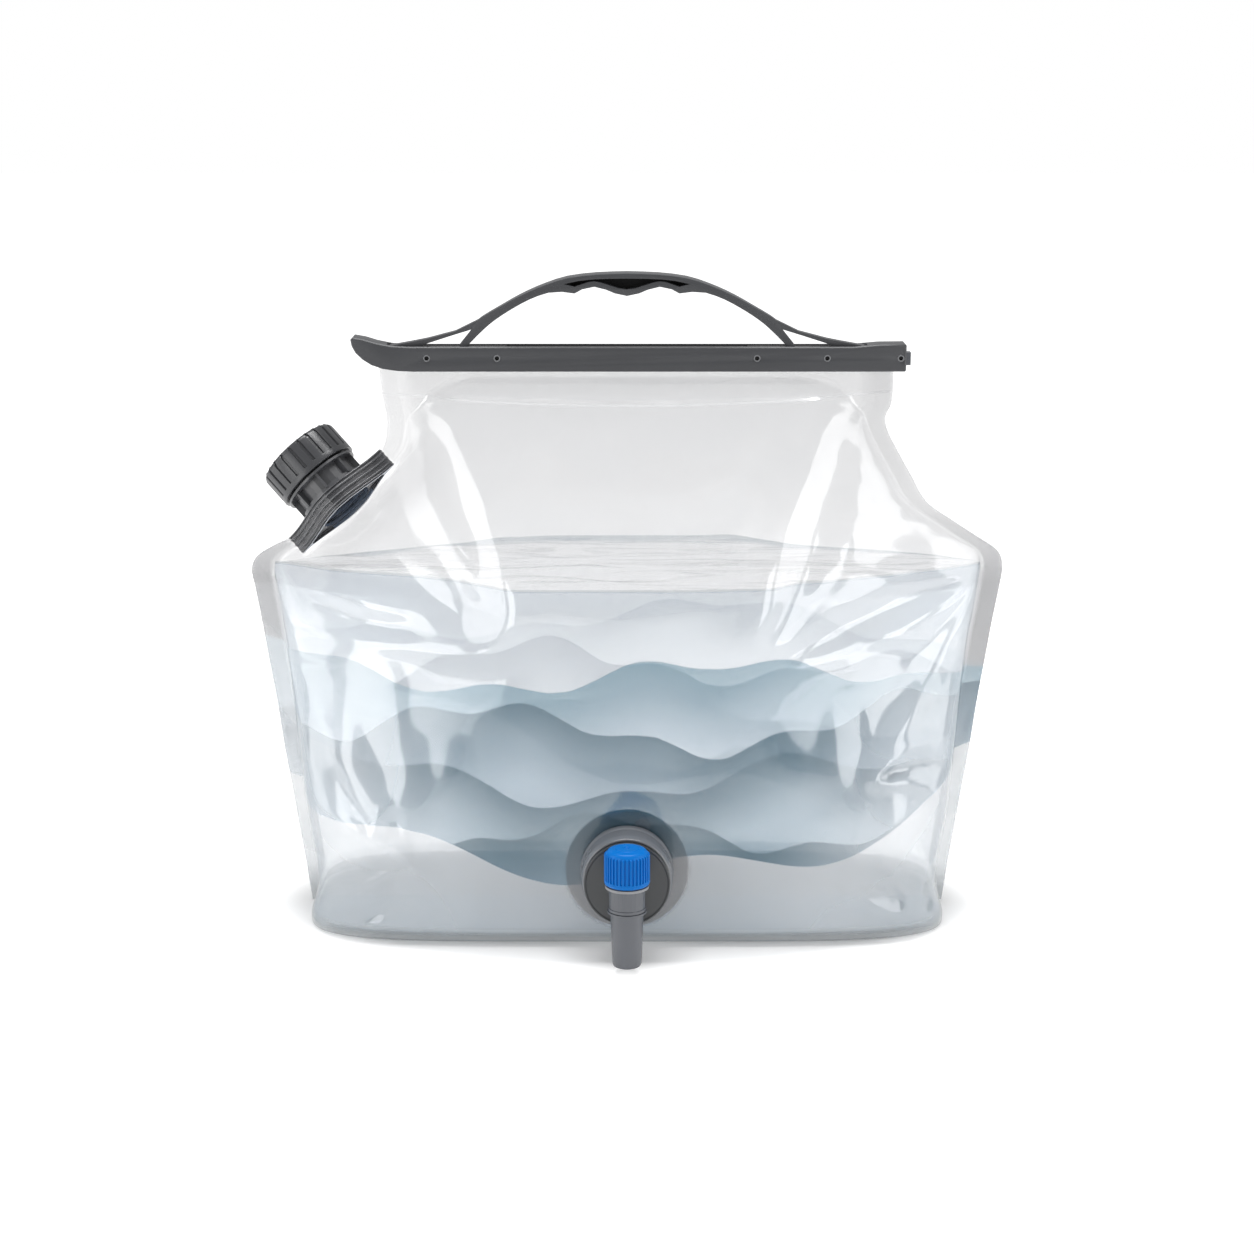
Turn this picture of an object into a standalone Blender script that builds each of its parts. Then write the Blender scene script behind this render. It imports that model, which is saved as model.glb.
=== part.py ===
"""Collapsible water carrier: a welded film pouch with a slide-on closure bar that carries the handle,
a screw-capped filler in the left shoulder, and a twist tap low on the front.

Metres, +Z up, +X to the right as seen from the tap side, -Y towards the viewer of the tap.
The origin is the middle of the flat base where the pouch stands.
"""

import math

import bmesh
import bpy
from mathutils import Matrix, Vector

# Clearances
GAP = 0.0003  # between pieces that touch or are welded
OVERRUN = 0.002  # how far a cutter runs past the face that it cuts
WELD_OVERLAP = 0.0008  # how far shapes that become one piece reach into each other

# Pouch film
FILM = 0.0008
POUCH_TOP = 0.3306  # upper edge of the film, inside the closure
POUCH_HALF_WIDTH = 0.2225  # across the outer edges of the side fins, at the shoulders
FIN_WIDTH = 0.012  # flat welded margin down each side
FIN_FOOT_WIDTH = 0.0025  # where it meets the base
FIN_FOOT_HEIGHT = 0.030
BASE_HALF_DEPTH = 0.0725
WALL_SWELL = 0.0070  # how much deeper than the base the wall is, where the tap sits
BELLY_SWELL = 0.0025  # how much further the wall swells above the tap
BASE_WELD_HEIGHT = 0.005
BASE_BULGE_TOP = 0.0100  # the wall reaches its full depth here
MOUTH_BAND = 0.0066  # height of film that lies flat below its upper edge
HEM_DROP = 0.0225  # the hem weld runs this far below the upper edge
CORNER_SOFTNESS = 0.010  # how gently the wall rounds into the sloping panels
DENT_DEPTH = 0.010
DENT_WIDTH = 0.017
CREASE_HEIGHT = 0.0035
CREASE_WIDTH = 0.010

# Closure bar
BAR_HEIGHT = 0.0144
BAR_DEPTH = 0.016
BAR_PAST_MOUTH_LEFT = 0.0151  # the bar covers the mouth and holds the handle's trough, with this room
BAR_PAST_MOUTH_RIGHT = 0.0065
BAR_PAST_TROUGH_LEFT = 0.0205
BAR_PAST_TROUGH_RIGHT = 0.0223
BAR_LIP = 0.0015  # lips that hold the rails
BAR_WEB = 0.0010  # floor between the rail track and the handle trough
TRACK_HEIGHT = 0.0028
TRACK_WIDTH = 0.0112
SLOT_WIDTH = 0.0030
TROUGH_WIDTH = 0.0090
TROUGH_END_ROOM = 0.0015  # past the tips of the handle's tails
BOW_LENGTH = 0.036
BOW_RISE = 0.0055  # how far the tip stands above the bar
HEEL_RISE = 0.0015
HEEL_LENGTH = 0.031
BAR_EDGE = 0.0007  # small chamfer along the bar's long edges

# Rails on the mouth
RAIL_INSET = 0.0015  # rails end this far inside the film's edges
RAIL_DEPTH = 0.0037
RAIL_SIDE_GAP = 0.0003

# End plug and its pin
PLUG_LENGTH = 0.0047
PLUG_TAB_LENGTH = 0.0030
PLUG_TAB_HEIGHT = 0.0074
PLUG_TAB_WIDTH = 0.0066
PLUG_TOP_DROP = 0.0020
END_PIN_RADIUS = 0.0015
END_PIN_INSET = 0.0032

# Handle
HANDLE_HEIGHT = 0.0422  # top of the grip above the bar
HANDLE_HALF_SPAN = 0.138
GRIP_WIDTH = 0.0160
TAIL_WIDTH = 0.0084
GRIP_HALF_LENGTH = 0.050
GRIP_WEB = 0.0030
TAIL_STEP = 0.0003  # the tails' sides lie this far inside the arch's
TENON_PAST_PIN = 0.0053
TENON_DROP = 0.0005
HANDLE_PIN_FROM_FOOT = 0.0172  # from the struts' feet to the inner pins
HANDLE_PIN_FROM_TIP = 0.0220
HANDLE_PIN_RADIUS = 0.00115
PIN_RECESS = 0.0012
PIN_HEIGHT = 0.0078  # above the bar's lower face

# Filler
NECK_TILT_DEGREES = 17.0  # the filler leans back from the side seams
FITMENT_LENGTH = 0.076
FITMENT_HALF_THICKNESS = 0.0205
FITMENT_TIP = 0.0011
FITMENT_BELOW = 0.0075  # welded body below the shoulder line
FITMENT_ABOVE = 0.0050
FITMENT_RIB = 0.0007
FITMENT_RIBS = 3
FITMENT_WALL = 0.0017  # the fitment is hollow below, out to its pointed ends
FITMENT_ROOF = 0.0030
FITMENT_CLEARANCE = 0.0022  # from the fitment to the faceted film
FILM_LAP = 0.003  # the film's edge lies this far above the shoulder line
FITMENT_FADE = 0.052  # the film loses the fitment's shape over this distance
FITMENT_TIP_FADE = 0.014
FILLER_BORE = 0.0170
FILLER_WALL_RADIUS = 0.0192
COLLAR_RADIUS = 0.0214
COLLAR_THICKNESS = 0.0014
THROAT_HEIGHT = 0.0095  # ribbed part between the two collars
THROAT_WEBS = 8
THROAT_WEB_WIDTH = 0.0016
THROAT_WEB_RADIUS = 0.0226
THROAT_WEB_TURN_SHARE = 0.25  # share of their spacing by which the webs are turned
CAP_COLLAR_RADIUS = 0.0242
CAP_COLLAR_THICKNESS = 0.0014
THREAD_RADIUS = 0.0200
THREAD_DEPTH = 0.0011
THREAD_PITCH = 0.0042
THREAD_TURNS = 1.75
THREAD_WIDTH = 0.0018
THREAD_RUN_IN = 3  # steps over which the ridge grows at each end

# Filler cap
CAP_RADIUS = 0.0255
CAP_HEIGHT = 0.0208
CAP_GAP = 0.0013  # shadow gap above the collar
CAP_WALL = 0.0030
CAP_TOP = 0.0022
CAP_RIM_BAND = 0.0032
CAP_CHAMFER = 0.0026
CAP_CROWN_INSET = 0.0042  # the flat top starts this far inside the wall
CAP_FLUTE = 0.0009
CAP_RIBS = 24
SEAL_THICKNESS = 0.0014
SEAL_WIDTH = 0.0045

# Tap fitment in the front wall
TAP_HEIGHT = 0.0475
WELD_RING_RADIUS = 0.0358
WELD_RING_THICKNESS = 0.0017
TAP_NECK_RADIUS = 0.0203
TAP_NECK_BORE = 0.0150
TAP_NECK_LENGTH = 0.0200  # in front of the film
FILM_HOLE_CLEARANCE = 0.0006
TAP_GASKET_THICKNESS = 0.0012

# Clamp ring, a collar round the fitment's neck that hides the nut's skirt
CLAMP_RING_RADIUS = 0.0270
CLAMP_RING_FOOT = 0.0040
CLAMP_RING_SHOULDER = 0.0262
CLAMP_RING_LENGTH = 0.0202
CLAMP_RING_FRONT = 0.0254
CLAMP_RING_EDGE = 0.0007
CLAMP_RING_FLOOR = 0.0065

# Tap nut
NUT_RADIUS = 0.0246
NUT_FACE = 0.0024
NUT_SKIRT_WALL = 0.0020
NUT_SKIRT_GAP = 0.0005
NUT_EDGE = 0.0007

# Tap
TAP_FLANGE_RADIUS = 0.0195
TAP_FLANGE_THICKNESS = 0.0015
TAP_PIPE_RADIUS = 0.0055  # round where it passes the nut
TAP_PIPE_BORE = 0.0028
TAP_BRIDGE_START = 0.0007  # in front of the nut the neck is flattened, to pass below the bonnet
TAP_BRIDGE_HALF_WIDTH = 0.0045
TAP_BRIDGE_RISE = 0.0034
TAP_BRIDGE_DROP = 0.0056
TAP_REACH = 0.0405  # from the front wall to the tap's upright axis
TAP_BODY_RADIUS = 0.0103
TAP_BODY_WALL = 0.0022
TAP_BODY_TOP = 0.0036  # above the tap's level axis
TAP_BODY_BOTTOM = 0.0085  # below it
TAP_COLLAR_RADIUS = 0.0107
TAP_COLLAR_HEIGHT = 0.0018
SEAT_HOLE = 0.0045
SEAT_THICKNESS = 0.0016
SEAT_DROP = 0.0030  # from the level axis down to the seat's upper face
SEAT_SEAL_THICKNESS = 0.0014

# Bonnet, stem and knob
BONNET_FLANGE_RADIUS = 0.0124
BONNET_FLANGE_THICKNESS = 0.0014
BONNET_BOSS_RADIUS = 0.0088
BONNET_BOSS_HEIGHT = 0.0110
BONNET_PLUG_DEPTH = 0.0010
STEM_RADIUS = 0.0024
STEM_CLEARANCE = 0.0004
STEM_PLUG_RADIUS = 0.0064
STEM_PLUG_HEIGHT = 0.0018
STEM_HEAD_RADIUS = 0.0048
STEM_HEAD_HEIGHT = 0.0016
STEM_TOP_GAP = 0.0004
ORING_RADIUS = 0.0009
KNOB_RADIUS = 0.0129
KNOB_HEIGHT = 0.0212
KNOB_BORE_CLEARANCE = 0.0004
KNOB_FLUTE = 0.0006
KNOB_RIBS = 26
KNOB_SKIRT = 0.0022
KNOB_SHOULDER = 0.0034
KNOB_CROWN = 0.0010
KNOB_SHOULDER_RADIUS = 0.0111
KNOB_CROWN_RADIUS = 0.0071

# Outlet nozzle
NOZZLE_FOOT = 0.0047  # above the floor
NOZZLE_TOP_RADIUS = 0.0092
NOZZLE_FOOT_RADIUS = 0.0084
NOZZLE_BORE = 0.0066
NOZZLE_SPIGOT = 0.0042  # how far it plugs into the tap
NOZZLE_EDGE = 0.0009

# How finely round pieces are cut
FINE = 32
MEDIUM = 24
COARSE = 16
ORING_SIDES = 8
ARCH_SECTIONS = 23  # of half the handle's arch
FITMENT_SECTIONS = 14
COLUMNS = 22  # of each film, between its side fins
SHARP_EDGE_DEGREES = 32.0
BEVEL_EDGE_DEGREES = 60.0

# The film's side edges: share of the pouch's height, share of its half width
LEFT_EDGE_SHARES = (
    (0.000, 0.866), (0.280, 0.925), (0.500, 0.972), (0.600, 0.994), (0.632, 1.000),
    (0.655, 0.984), (0.675, 0.935), (0.695, 0.872), (0.828, 0.6685), (0.848, 0.645),
    (0.872, 0.634), (0.905, 0.632), (0.945, 0.643), (1.000, 0.651),
)
RIGHT_EDGE_SHARES = (
    (0.000, 0.866), (0.280, 0.925), (0.500, 0.972), (0.600, 0.995), (0.640, 1.000),
    (0.665, 0.985), (0.690, 0.930), (0.715, 0.872), (0.750, 0.798), (0.800, 0.752),
    (0.845, 0.714), (0.880, 0.687), (0.905, 0.680), (0.930, 0.695), (1.000, 0.698),
)
FITMENT_LINE_SHARES = ((0.695, 0.872), (0.828, 0.6685))  # the straight part of the left shoulder
# Rows of the film above its foot, as shares of its height
ROW_SHARES = (
    0.085, 0.14, 0.21, 0.28, 0.36, 0.43, 0.49, 0.54, 0.58, 0.612, 0.635, 0.658,
    0.680, 0.705, 0.730, 0.755, 0.780, 0.806, 0.832, 0.862, 0.895, 0.930, 0.955, 0.980, 1.000,
)
TOP_SLOPE_SHARE = 0.705  # how steeply the top panel leans back
FACET_SLOPE_SHARE = 0.70
LEFT_FACET_SHARES = ((0.640, 0.935), (0.895, 0.590))
RIGHT_FACET_SHARES = ((0.668, 0.940), (0.905, 0.635))
# Dents from the mouth's corners down to the wall: (height share, half width share) along each
LEFT_DENT_SHARES = ((0.975, -0.550), (0.890, -0.500), (0.800, -0.445), (0.700, -0.395), (0.600, -0.355),
                    (0.520, -0.345))
RIGHT_DENT_SHARES = ((0.970, 0.570), (0.880, 0.530), (0.790, 0.480), (0.690, 0.430), (0.590, 0.370),
                     (0.510, 0.350))
LEFT_CREASE_SHARES = ((0.965, -0.520), (0.880, -0.420), (0.790, -0.350), (0.690, -0.310), (0.600, -0.300),
                      (0.520, -0.330))
RIGHT_CREASE_SHARES = ((0.965, 0.545), (0.880, 0.480), (0.790, 0.420), (0.680, 0.385), (0.590, 0.350),
                       (0.515, 0.340))
FOLD_START_SHARE = 0.04  # where along a fold its strength curve starts
FOLD_RUN_SHARE = 0.90
FOLD_FADE_POWER = 0.6
BASE_SQUARENESS = 5.0
WALL_SQUARENESS = 2.5
SQUARENESS_TOP_SHARE = 0.36  # height share where the wall's section has become rounded
SWELL_START_SHARE = 0.27
SWELL_TOP_SHARE = 0.45

# The bar's side outline at its left end: share of the bow's length, share of the height at that point
BOW_UNDERSIDE_SHARES = ((0.000, 0.930), (0.020, 0.740), (0.080, 0.540), (0.190, 0.350), (0.330, 0.190),
                        (0.510, 0.080), (0.740, 0.020), (1.000, 0.000))
BOW_TOP_SHARES = ((0.035, 1.000), (0.210, 0.800), (0.400, 0.420), (0.640, 0.100), (0.900, 0.000))
HEEL_CURVE_SHARE = 0.9  # share of the heel's rise that is reached half way along it

# The handle's outline: share of the half span, share of the height above the bar
ARCH_OUTER_SHARES = (
    (0.7065, 0.000), (0.6820, 0.105), (0.6520, 0.228), (0.6290, 0.348), (0.5362, 0.533), (0.4391, 0.706),
    (0.3435, 0.841), (0.2478, 0.938), (0.1268, 0.986), (0.0000, 1.000),
)
ARCH_INNER_SHARES = (
    (0.6700, 0.000), (0.6460, 0.085), (0.6200, 0.171), (0.5640, 0.334), (0.4880, 0.502), (0.4000, 0.659),
    (0.3300, 0.739), (0.2900, 0.760), (0.2240, 0.728), (0.1830, 0.792), (0.1400, 0.822), (0.0910, 0.786),
    (0.0435, 0.724), (0.0000, 0.697),
)
TAIL_OUTER_SHARES = ((1.000, 0.005), (0.960, 0.025), (0.900, 0.060), (0.841, 0.098), (0.7217, 0.200),
                     (0.6290, 0.348), (0.560, 0.485))
TAIL_INNER_SHARES = ((1.000, -0.070), (0.960, -0.070), (0.900, -0.050), (0.840, 0.035), (0.7400, 0.140),
                     (0.6480, 0.233), (0.600, 0.330))
POCKET_TOP_SHARES = ((0.0000, 0.934), (0.0750, 0.931), (0.1450, 0.922), (0.2000, 0.903), (0.2640, 0.858))
POCKET_FLOOR_SHARES = ((0.2180, 0.822), (0.1810, 0.864), (0.1600, 0.886), (0.1370, 0.896), (0.1100, 0.880),
                       (0.0700, 0.838), (0.0350, 0.801), (0.0000, 0.787))

def material(name, colour, roughness, metallic=0.0):
    """A plain plastic, rubber or metal finish."""
    made = bpy.data.materials.new(name)
    made.use_nodes = True
    shader = made.node_tree.nodes["Principled BSDF"]
    shader.inputs["Base Color"].default_value = (*colour, 1.0)
    shader.inputs["Roughness"].default_value = roughness
    shader.inputs["Metallic"].default_value = metallic
    made.diffuse_color = (*colour, 1.0)
    return made


def finished(name, bm, finish):
    """Turns a bmesh into a named object with smooth round faces and sharp edges."""
    bmesh.ops.recalc_face_normals(bm, faces=bm.faces)
    mesh = bpy.data.meshes.new(name)
    bm.to_mesh(mesh)
    bm.free()
    mesh.shade_smooth()
    mesh.set_sharp_from_angle(angle=math.radians(SHARP_EDGE_DEGREES))
    obj = bpy.data.objects.new(name, mesh)
    bpy.context.scene.collection.objects.link(obj)
    if finish:
        mesh.materials.append(finish)
    return obj


def turned(name, profile, segments, finish, flutes=()):
    """A solid turned about Z from (radius, height) points. A point at radius 0 closes on the axis.
    Rings whose numbers are in flutes are drawn in at every other point by the depth given there."""
    bm = bmesh.new()
    depth_of = dict(flutes)
    rings = []
    for number, (radius, height) in enumerate(profile):
        if radius == 0:
            rings.append([bm.verts.new((0, 0, height))])
            continue
        ring = []
        for j in range(segments):
            angle = math.tau * j / segments
            r = radius - (depth_of.get(number, 0) if j % 2 else 0)
            ring.append(bm.verts.new((r * math.cos(angle), r * math.sin(angle), height)))
        rings.append(ring)
    pairs = list(zip(rings, rings[1:]))
    if len(rings[0]) > 1 and len(rings[-1]) > 1:
        pairs.append((rings[-1], rings[0]))
    for low, high in pairs:
        if len(low) == len(high) == 1:
            continue
        for j in range(segments):
            k = (j + 1) % segments
            if len(low) == 1:
                bm.faces.new((low[0], high[k], high[j]))
            elif len(high) == 1:
                bm.faces.new((low[j], low[k], high[0]))
            else:
                bm.faces.new((low[j], low[k], high[k], high[j]))
    return finished(name, bm, finish)


def slab(name, outline, y_low, y_high, finish=None):
    """An outline of (x, z) points, extruded along Y."""
    bm = bmesh.new()
    face = bm.faces.new([bm.verts.new((x, y_low, z)) for x, z in outline])
    moved = bmesh.ops.extrude_face_region(bm, geom=[face])
    for vertex in (v for v in moved["geom"] if isinstance(v, bmesh.types.BMVert)):
        vertex.co.y = y_high
    return finished(name, bm, finish)


def block(name, low, high, finish=None):
    """A box between two corners."""
    (x0, y0, z0), (x1, y1, z1) = low, high
    return slab(name, ((x0, z0), (x1, z0), (x1, z1), (x0, z1)), y0, y1, finish)


def helper(obj):
    """Marks a cutter or a shape that is joined into another one."""
    obj.hide_render = True
    obj.display_type = "WIRE"
    return obj


def combine(obj, other, operation):
    """Adds a Boolean with the other object."""
    modifier = obj.modifiers.new(f"{operation.lower()} {other.name}", "BOOLEAN")
    modifier.operation = operation
    modifier.object = helper(other)
    modifier.solver = "EXACT"
    return obj


def cut(obj, cutter):
    """Takes the cutter's shape out of an object."""
    return combine(obj, cutter, "DIFFERENCE")


def join(obj, other):
    """Makes the other shape part of an object."""
    return combine(obj, other, "UNION")


def rod(name, radius, length, segments=COARSE, finish=None):
    """A plain cylinder standing on the origin."""
    return turned(name, ((0, 0), (radius, 0), (radius, length), (0, length)), segments, finish)


def ring(name, inner, outer, low, high, segments, finish=None, edge=0.0):
    """A flat ring. Edge is the chamfer on its outer corners."""
    profile = [(inner, low), (outer - edge, low), (outer, low + edge), (outer, high - edge),
               (outer - edge, high), (inner, high)]
    if edge == 0:
        profile = [(inner, low), (outer, low), (outer, high), (inner, high)]
    return turned(name, profile, segments, finish)


def along_y(obj, point):
    """Lays an upright turned piece so that its +Z points at the viewer, and puts its origin at point."""
    obj.matrix_world = Matrix.Translation(point) @ Matrix.Rotation(math.radians(90), 4, "X")
    return obj


def smooth_step(value):
    """Goes gently from 0 to 1 as the value does."""
    value = min(max(value, 0.0), 1.0)
    return value * value * (3 - 2 * value)


def read_curve(points, at):
    """A smooth curve through (position, value) points, read at one position."""
    if at <= points[0][0]:
        return points[0][1]
    if at >= points[-1][0]:
        return points[-1][1]
    i = max(k for k in range(len(points) - 1) if points[k][0] <= at)
    (p1, v1), (p2, v2) = points[i], points[i + 1]
    (p0, v0), (p3, v3) = points[max(i - 1, 0)], points[min(i + 2, len(points) - 1)]
    span = p2 - p1
    slope1 = (v2 - v0) / (p2 - p0)
    slope2 = (v3 - v1) / (p3 - p1)
    t = (at - p1) / span
    return ((2 * t**3 - 3 * t**2 + 1) * v1 + (t**3 - 2 * t**2 + t) * span * slope1
            + (3 * t**2 - 2 * t**3) * v2 + (t**3 - t**2) * span * slope2)


def soft_least(values, softness):
    """The least of several depths, with the corners between them rounded."""
    least = values[0]
    for value in values[1:]:
        h = max(softness - abs(least - value), 0) / softness
        least = min(least, value) - h * h * softness / 4
    return least


def left_edge(z):
    """Where the side seam's outer edge lies at a height."""
    return -POUCH_HALF_WIDTH * read_curve(LEFT_EDGE_SHARES, z / POUCH_TOP)


def right_edge(z):
    return POUCH_HALF_WIDTH * read_curve(RIGHT_EDGE_SHARES, z / POUCH_TOP)


def fin_width(z):
    """The flat margin's width at a height, narrow where it meets the floor."""
    return FIN_FOOT_WIDTH + (FIN_WIDTH - FIN_FOOT_WIDTH) * smooth_step(z / FIN_FOOT_HEIGHT)


def pouch_point(height_share, width_share):
    """A point of the pouch's front view, from its shares."""
    return Vector((POUCH_HALF_WIDTH * width_share, POUCH_TOP * height_share))


def fitment_frame():
    """Middle of the shoulder line in (x, z), the direction up along it, and the one out of the pouch."""
    low, high = (pouch_point(h, -w) for h, w in FITMENT_LINE_SHARES)
    along = (high - low).normalized()
    outward = Vector((-along.y, along.x))
    return (low + high) / 2 - outward * FILM_LAP, along, outward


def fitment_half_thickness(share):
    """The fitment's canoe shape: half its thickness at a share of its half length."""
    bell = math.cos(math.pi / 2 * min(abs(share), 1.0)) ** 2
    return FITMENT_TIP + (FITMENT_HALF_THICKNESS - FITMENT_TIP) * bell


def film_left_edge(z, side):
    """The left edge of one film. Beside the leaning fitment the front film reaches further than the back."""
    x = left_edge(z)
    middle, along, outward = fitment_frame()
    share = (Vector((x, z)) - middle).dot(along) / (FITMENT_LENGTH / 2)
    if abs(share) >= 1:
        return x
    reach = (fitment_half_thickness(share) - FITMENT_TIP) * math.sin(math.radians(NECK_TILT_DEGREES))
    return x + side * reach / abs(outward.x)


def fitment_bulge(x, z, side):
    """How deep the film has to lie to cover the fitment. Side is -1 in front and 1 behind."""
    middle, along, outward = fitment_frame()
    offset = Vector((x, z)) - middle
    share = offset.dot(along) / (FITMENT_LENGTH / 2)
    out = offset.dot(outward)
    tilt = math.radians(NECK_TILT_DEGREES)
    past_tip = max(abs(share) - 1, 0) * FITMENT_LENGTH / 2
    tip_fade = 1 - smooth_step(past_tip / FITMENT_TIP_FADE)
    thick = (fitment_half_thickness(share) + FITMENT_RIB + FITMENT_CLEARANCE) / math.cos(tilt) + FILM
    inside = max(-out - FITMENT_BELOW - FITMENT_RIB, 0)
    fade = 1 - smooth_step(inside / FITMENT_FADE)
    lean = side * max(out, -FITMENT_BELOW) * math.tan(tilt) * min(thick / FITMENT_HALF_THICKNESS, 1)
    return (thick + lean) * tip_fade * fade


def plane_depth(x, z, shares, sign):
    """Depth of a facet that starts at the line through two points of the side edge and rises inwards."""
    low, high = (pouch_point(h, sign * w) for h, w in shares)
    along = (high - low).normalized()
    inward = Vector((along.y, -along.x)) * -sign
    return FACET_SLOPE_SHARE * (Vector((x, z)) - low).dot(inward)


def stroke(x, z, shares, width):
    """How strongly a fold is felt at a point: 1 on its line, falling to 0 at its width and at its ends."""
    places = [pouch_point(h, w) for h, w in shares]
    here = Vector((x, z))
    best, strength = math.inf, 0.0
    for i, (a, b) in enumerate(zip(places, places[1:])):
        span = b - a
        t = min(max((here - a).dot(span) / span.length_squared, 0), 1)
        distance = (here - a - span * t).length
        if distance < best:
            best = distance
            run = (i + t) / (len(places) - 1)
            strength = math.sin(math.pi * (FOLD_START_SHARE + FOLD_RUN_SHARE * run)) ** FOLD_FADE_POWER
    return strength * math.exp(-((best / width) ** 2))


def film_depth(x, z, side):
    """Distance of the film's outer face from the side seams' plane. Side is -1 in front and 1 behind."""
    least = FILM + GAP
    left, right = film_left_edge(z, side) + fin_width(z), right_edge(z) - fin_width(z)
    if not left < x < right:
        return max(least, fitment_bulge(x, z, side))
    share = z / POUCH_TOP
    swell_low = BASE_WELD_HEIGHT / 2
    deepest = BASE_HALF_DEPTH + WALL_SWELL * smooth_step((z - swell_low) / (BASE_BULGE_TOP - swell_low))
    deepest += BELLY_SWELL * smooth_step((share - SWELL_START_SHARE) / (SWELL_TOP_SHARE - SWELL_START_SHARE))
    rounding = smooth_step(share / SQUARENESS_TOP_SHARE)
    squareness = BASE_SQUARENESS + (WALL_SQUARENESS - BASE_SQUARENESS) * rounding
    middle, half = (left + right) / 2, (right - left) / 2
    across = min(abs((x - middle) / half), 1.0)
    wall = deepest * (1 - across**squareness) ** (1 / squareness)
    bend = POUCH_TOP - MOUTH_BAND
    top = max(bend - z, 0) * TOP_SLOPE_SHARE
    facets = [plane_depth(x, z, LEFT_FACET_SHARES, -1), plane_depth(x, z, RIGHT_FACET_SHARES, 1)]
    depth = soft_least([wall, top, *facets], CORNER_SOFTNESS)
    depth = max(depth, 0)
    room = min(depth / (2 * DENT_DEPTH), 1) * smooth_step((bend - z) / HEM_DROP)
    mirror = -side
    for dent, crease in ((LEFT_DENT_SHARES, LEFT_CREASE_SHARES), (RIGHT_DENT_SHARES, RIGHT_CREASE_SHARES)):
        depth -= DENT_DEPTH * room * stroke(mirror * x, z, dent, DENT_WIDTH)
        depth += CREASE_HEIGHT * room * stroke(mirror * x, z, crease, CREASE_WIDTH)
    return max(depth, least, fitment_bulge(x, z, side))


def row_heights():
    """Heights of the film's rows: the foot, the floor's weld, the bulge above it, then the rest."""
    return [GAP, BASE_WELD_HEIGHT, BASE_BULGE_TOP] + [POUCH_TOP * share for share in ROW_SHARES]


def film_wall(name, side, finish):
    """The front or back film as a thin shell, row by row from the base weld to the mouth."""
    bm = bmesh.new()
    rows = []
    for z in row_heights():
        left, right = film_left_edge(z, side), right_edge(z)
        inner_left, inner_right = left + fin_width(z), right - fin_width(z)
        places = [left]
        for j in range(COLUMNS + 1):
            run = math.sin(math.pi / 2 * (2 * j / COLUMNS - 1))
            places.append((inner_left + inner_right) / 2 + (inner_right - inner_left) / 2 * run)
        places.append(right)
        rows.append([bm.verts.new((x, side * film_depth(x, z, side), z)) for x in places])
    for low, high in zip(rows, rows[1:]):
        for j in range(len(low) - 1):
            corners = (low[j], low[j + 1], high[j + 1], high[j])
            bm.faces.new(corners if side < 0 else tuple(reversed(corners)))
    bmesh.ops.triangulate(bm, faces=bm.faces)
    mesh = bpy.data.meshes.new(name)
    bm.to_mesh(mesh)
    bm.free()
    mesh.shade_smooth()
    mesh.materials.append(finish)
    obj = bpy.data.objects.new(name, mesh)
    bpy.context.scene.collection.objects.link(obj)
    thick = obj.modifiers.new("film thickness", "SOLIDIFY")
    thick.thickness = FILM
    thick.offset = -1
    thick.use_even_offset = True
    thick.use_rim = True
    return obj


def base_outline(inset, z):
    """The floor's outline, a fixed distance inside the walls' outer faces."""
    left, right = left_edge(z) + fin_width(z), right_edge(z) - fin_width(z)
    front, back = [], []
    for j in range(COLUMNS + 1):
        run = math.sin(math.pi / 2 * (2 * j / COLUMNS - 1))
        x = (left + right) / 2 + ((right - left) / 2 - inset) * run
        squeeze = ((right - left) / 2) / ((right - left) / 2 - inset)
        at = (left + right) / 2 + (x - (left + right) / 2) * squeeze
        depth = max(film_depth(at, z, -1) - inset, 0)
        front.append((x, -depth))
        back.append((x, depth))
    return front + back[-2:0:-1]


def base_gusset(finish):
    """The floor of the pouch: a flat sheet whose turned-up rim is welded inside the walls."""
    wall_inset = FILM + 2 * GAP
    bm = bmesh.new()
    loops = []
    for inset, z in ((wall_inset, 0), (wall_inset, BASE_WELD_HEIGHT), (wall_inset + FILM, BASE_WELD_HEIGHT),
                     (wall_inset + FILM, FILM)):
        loops.append([bm.verts.new((x, y, z)) for x, y in base_outline(inset, max(z, GAP))])
    for low, high in zip(loops, loops[1:]):
        count = len(low)
        for j in range(count):
            bm.faces.new((low[j], low[(j + 1) % count], high[(j + 1) % count], high[j]))
    bm.faces.new(loops[0])
    bm.faces.new(loops[-1])
    return finished("base_gusset", bm, finish)


def bar_levels():
    """Heights of the closure bar's faces."""
    low = POUCH_TOP - BAR_LIP - TRACK_HEIGHT + GAP
    track_low = low + BAR_LIP
    track_high = track_low + TRACK_HEIGHT
    return {"low": low, "track_low": track_low, "track_high": track_high,
            "trough": track_high + BAR_WEB, "high": low + BAR_HEIGHT, "pins": low + PIN_HEIGHT}


def trough_half_length():
    """The trough holds the handle's tails from tip to tip."""
    return HANDLE_HALF_SPAN + TROUGH_END_ROOM


def bar_ends():
    """Where the bar ends at the left and right: past the mouth and past the trough."""
    trough = trough_half_length()
    left = min(left_edge(POUCH_TOP) - BAR_PAST_MOUTH_LEFT, -trough - BAR_PAST_TROUGH_LEFT)
    right = max(right_edge(POUCH_TOP) + BAR_PAST_MOUTH_RIGHT, trough + BAR_PAST_TROUGH_RIGHT)
    return left, right


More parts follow.
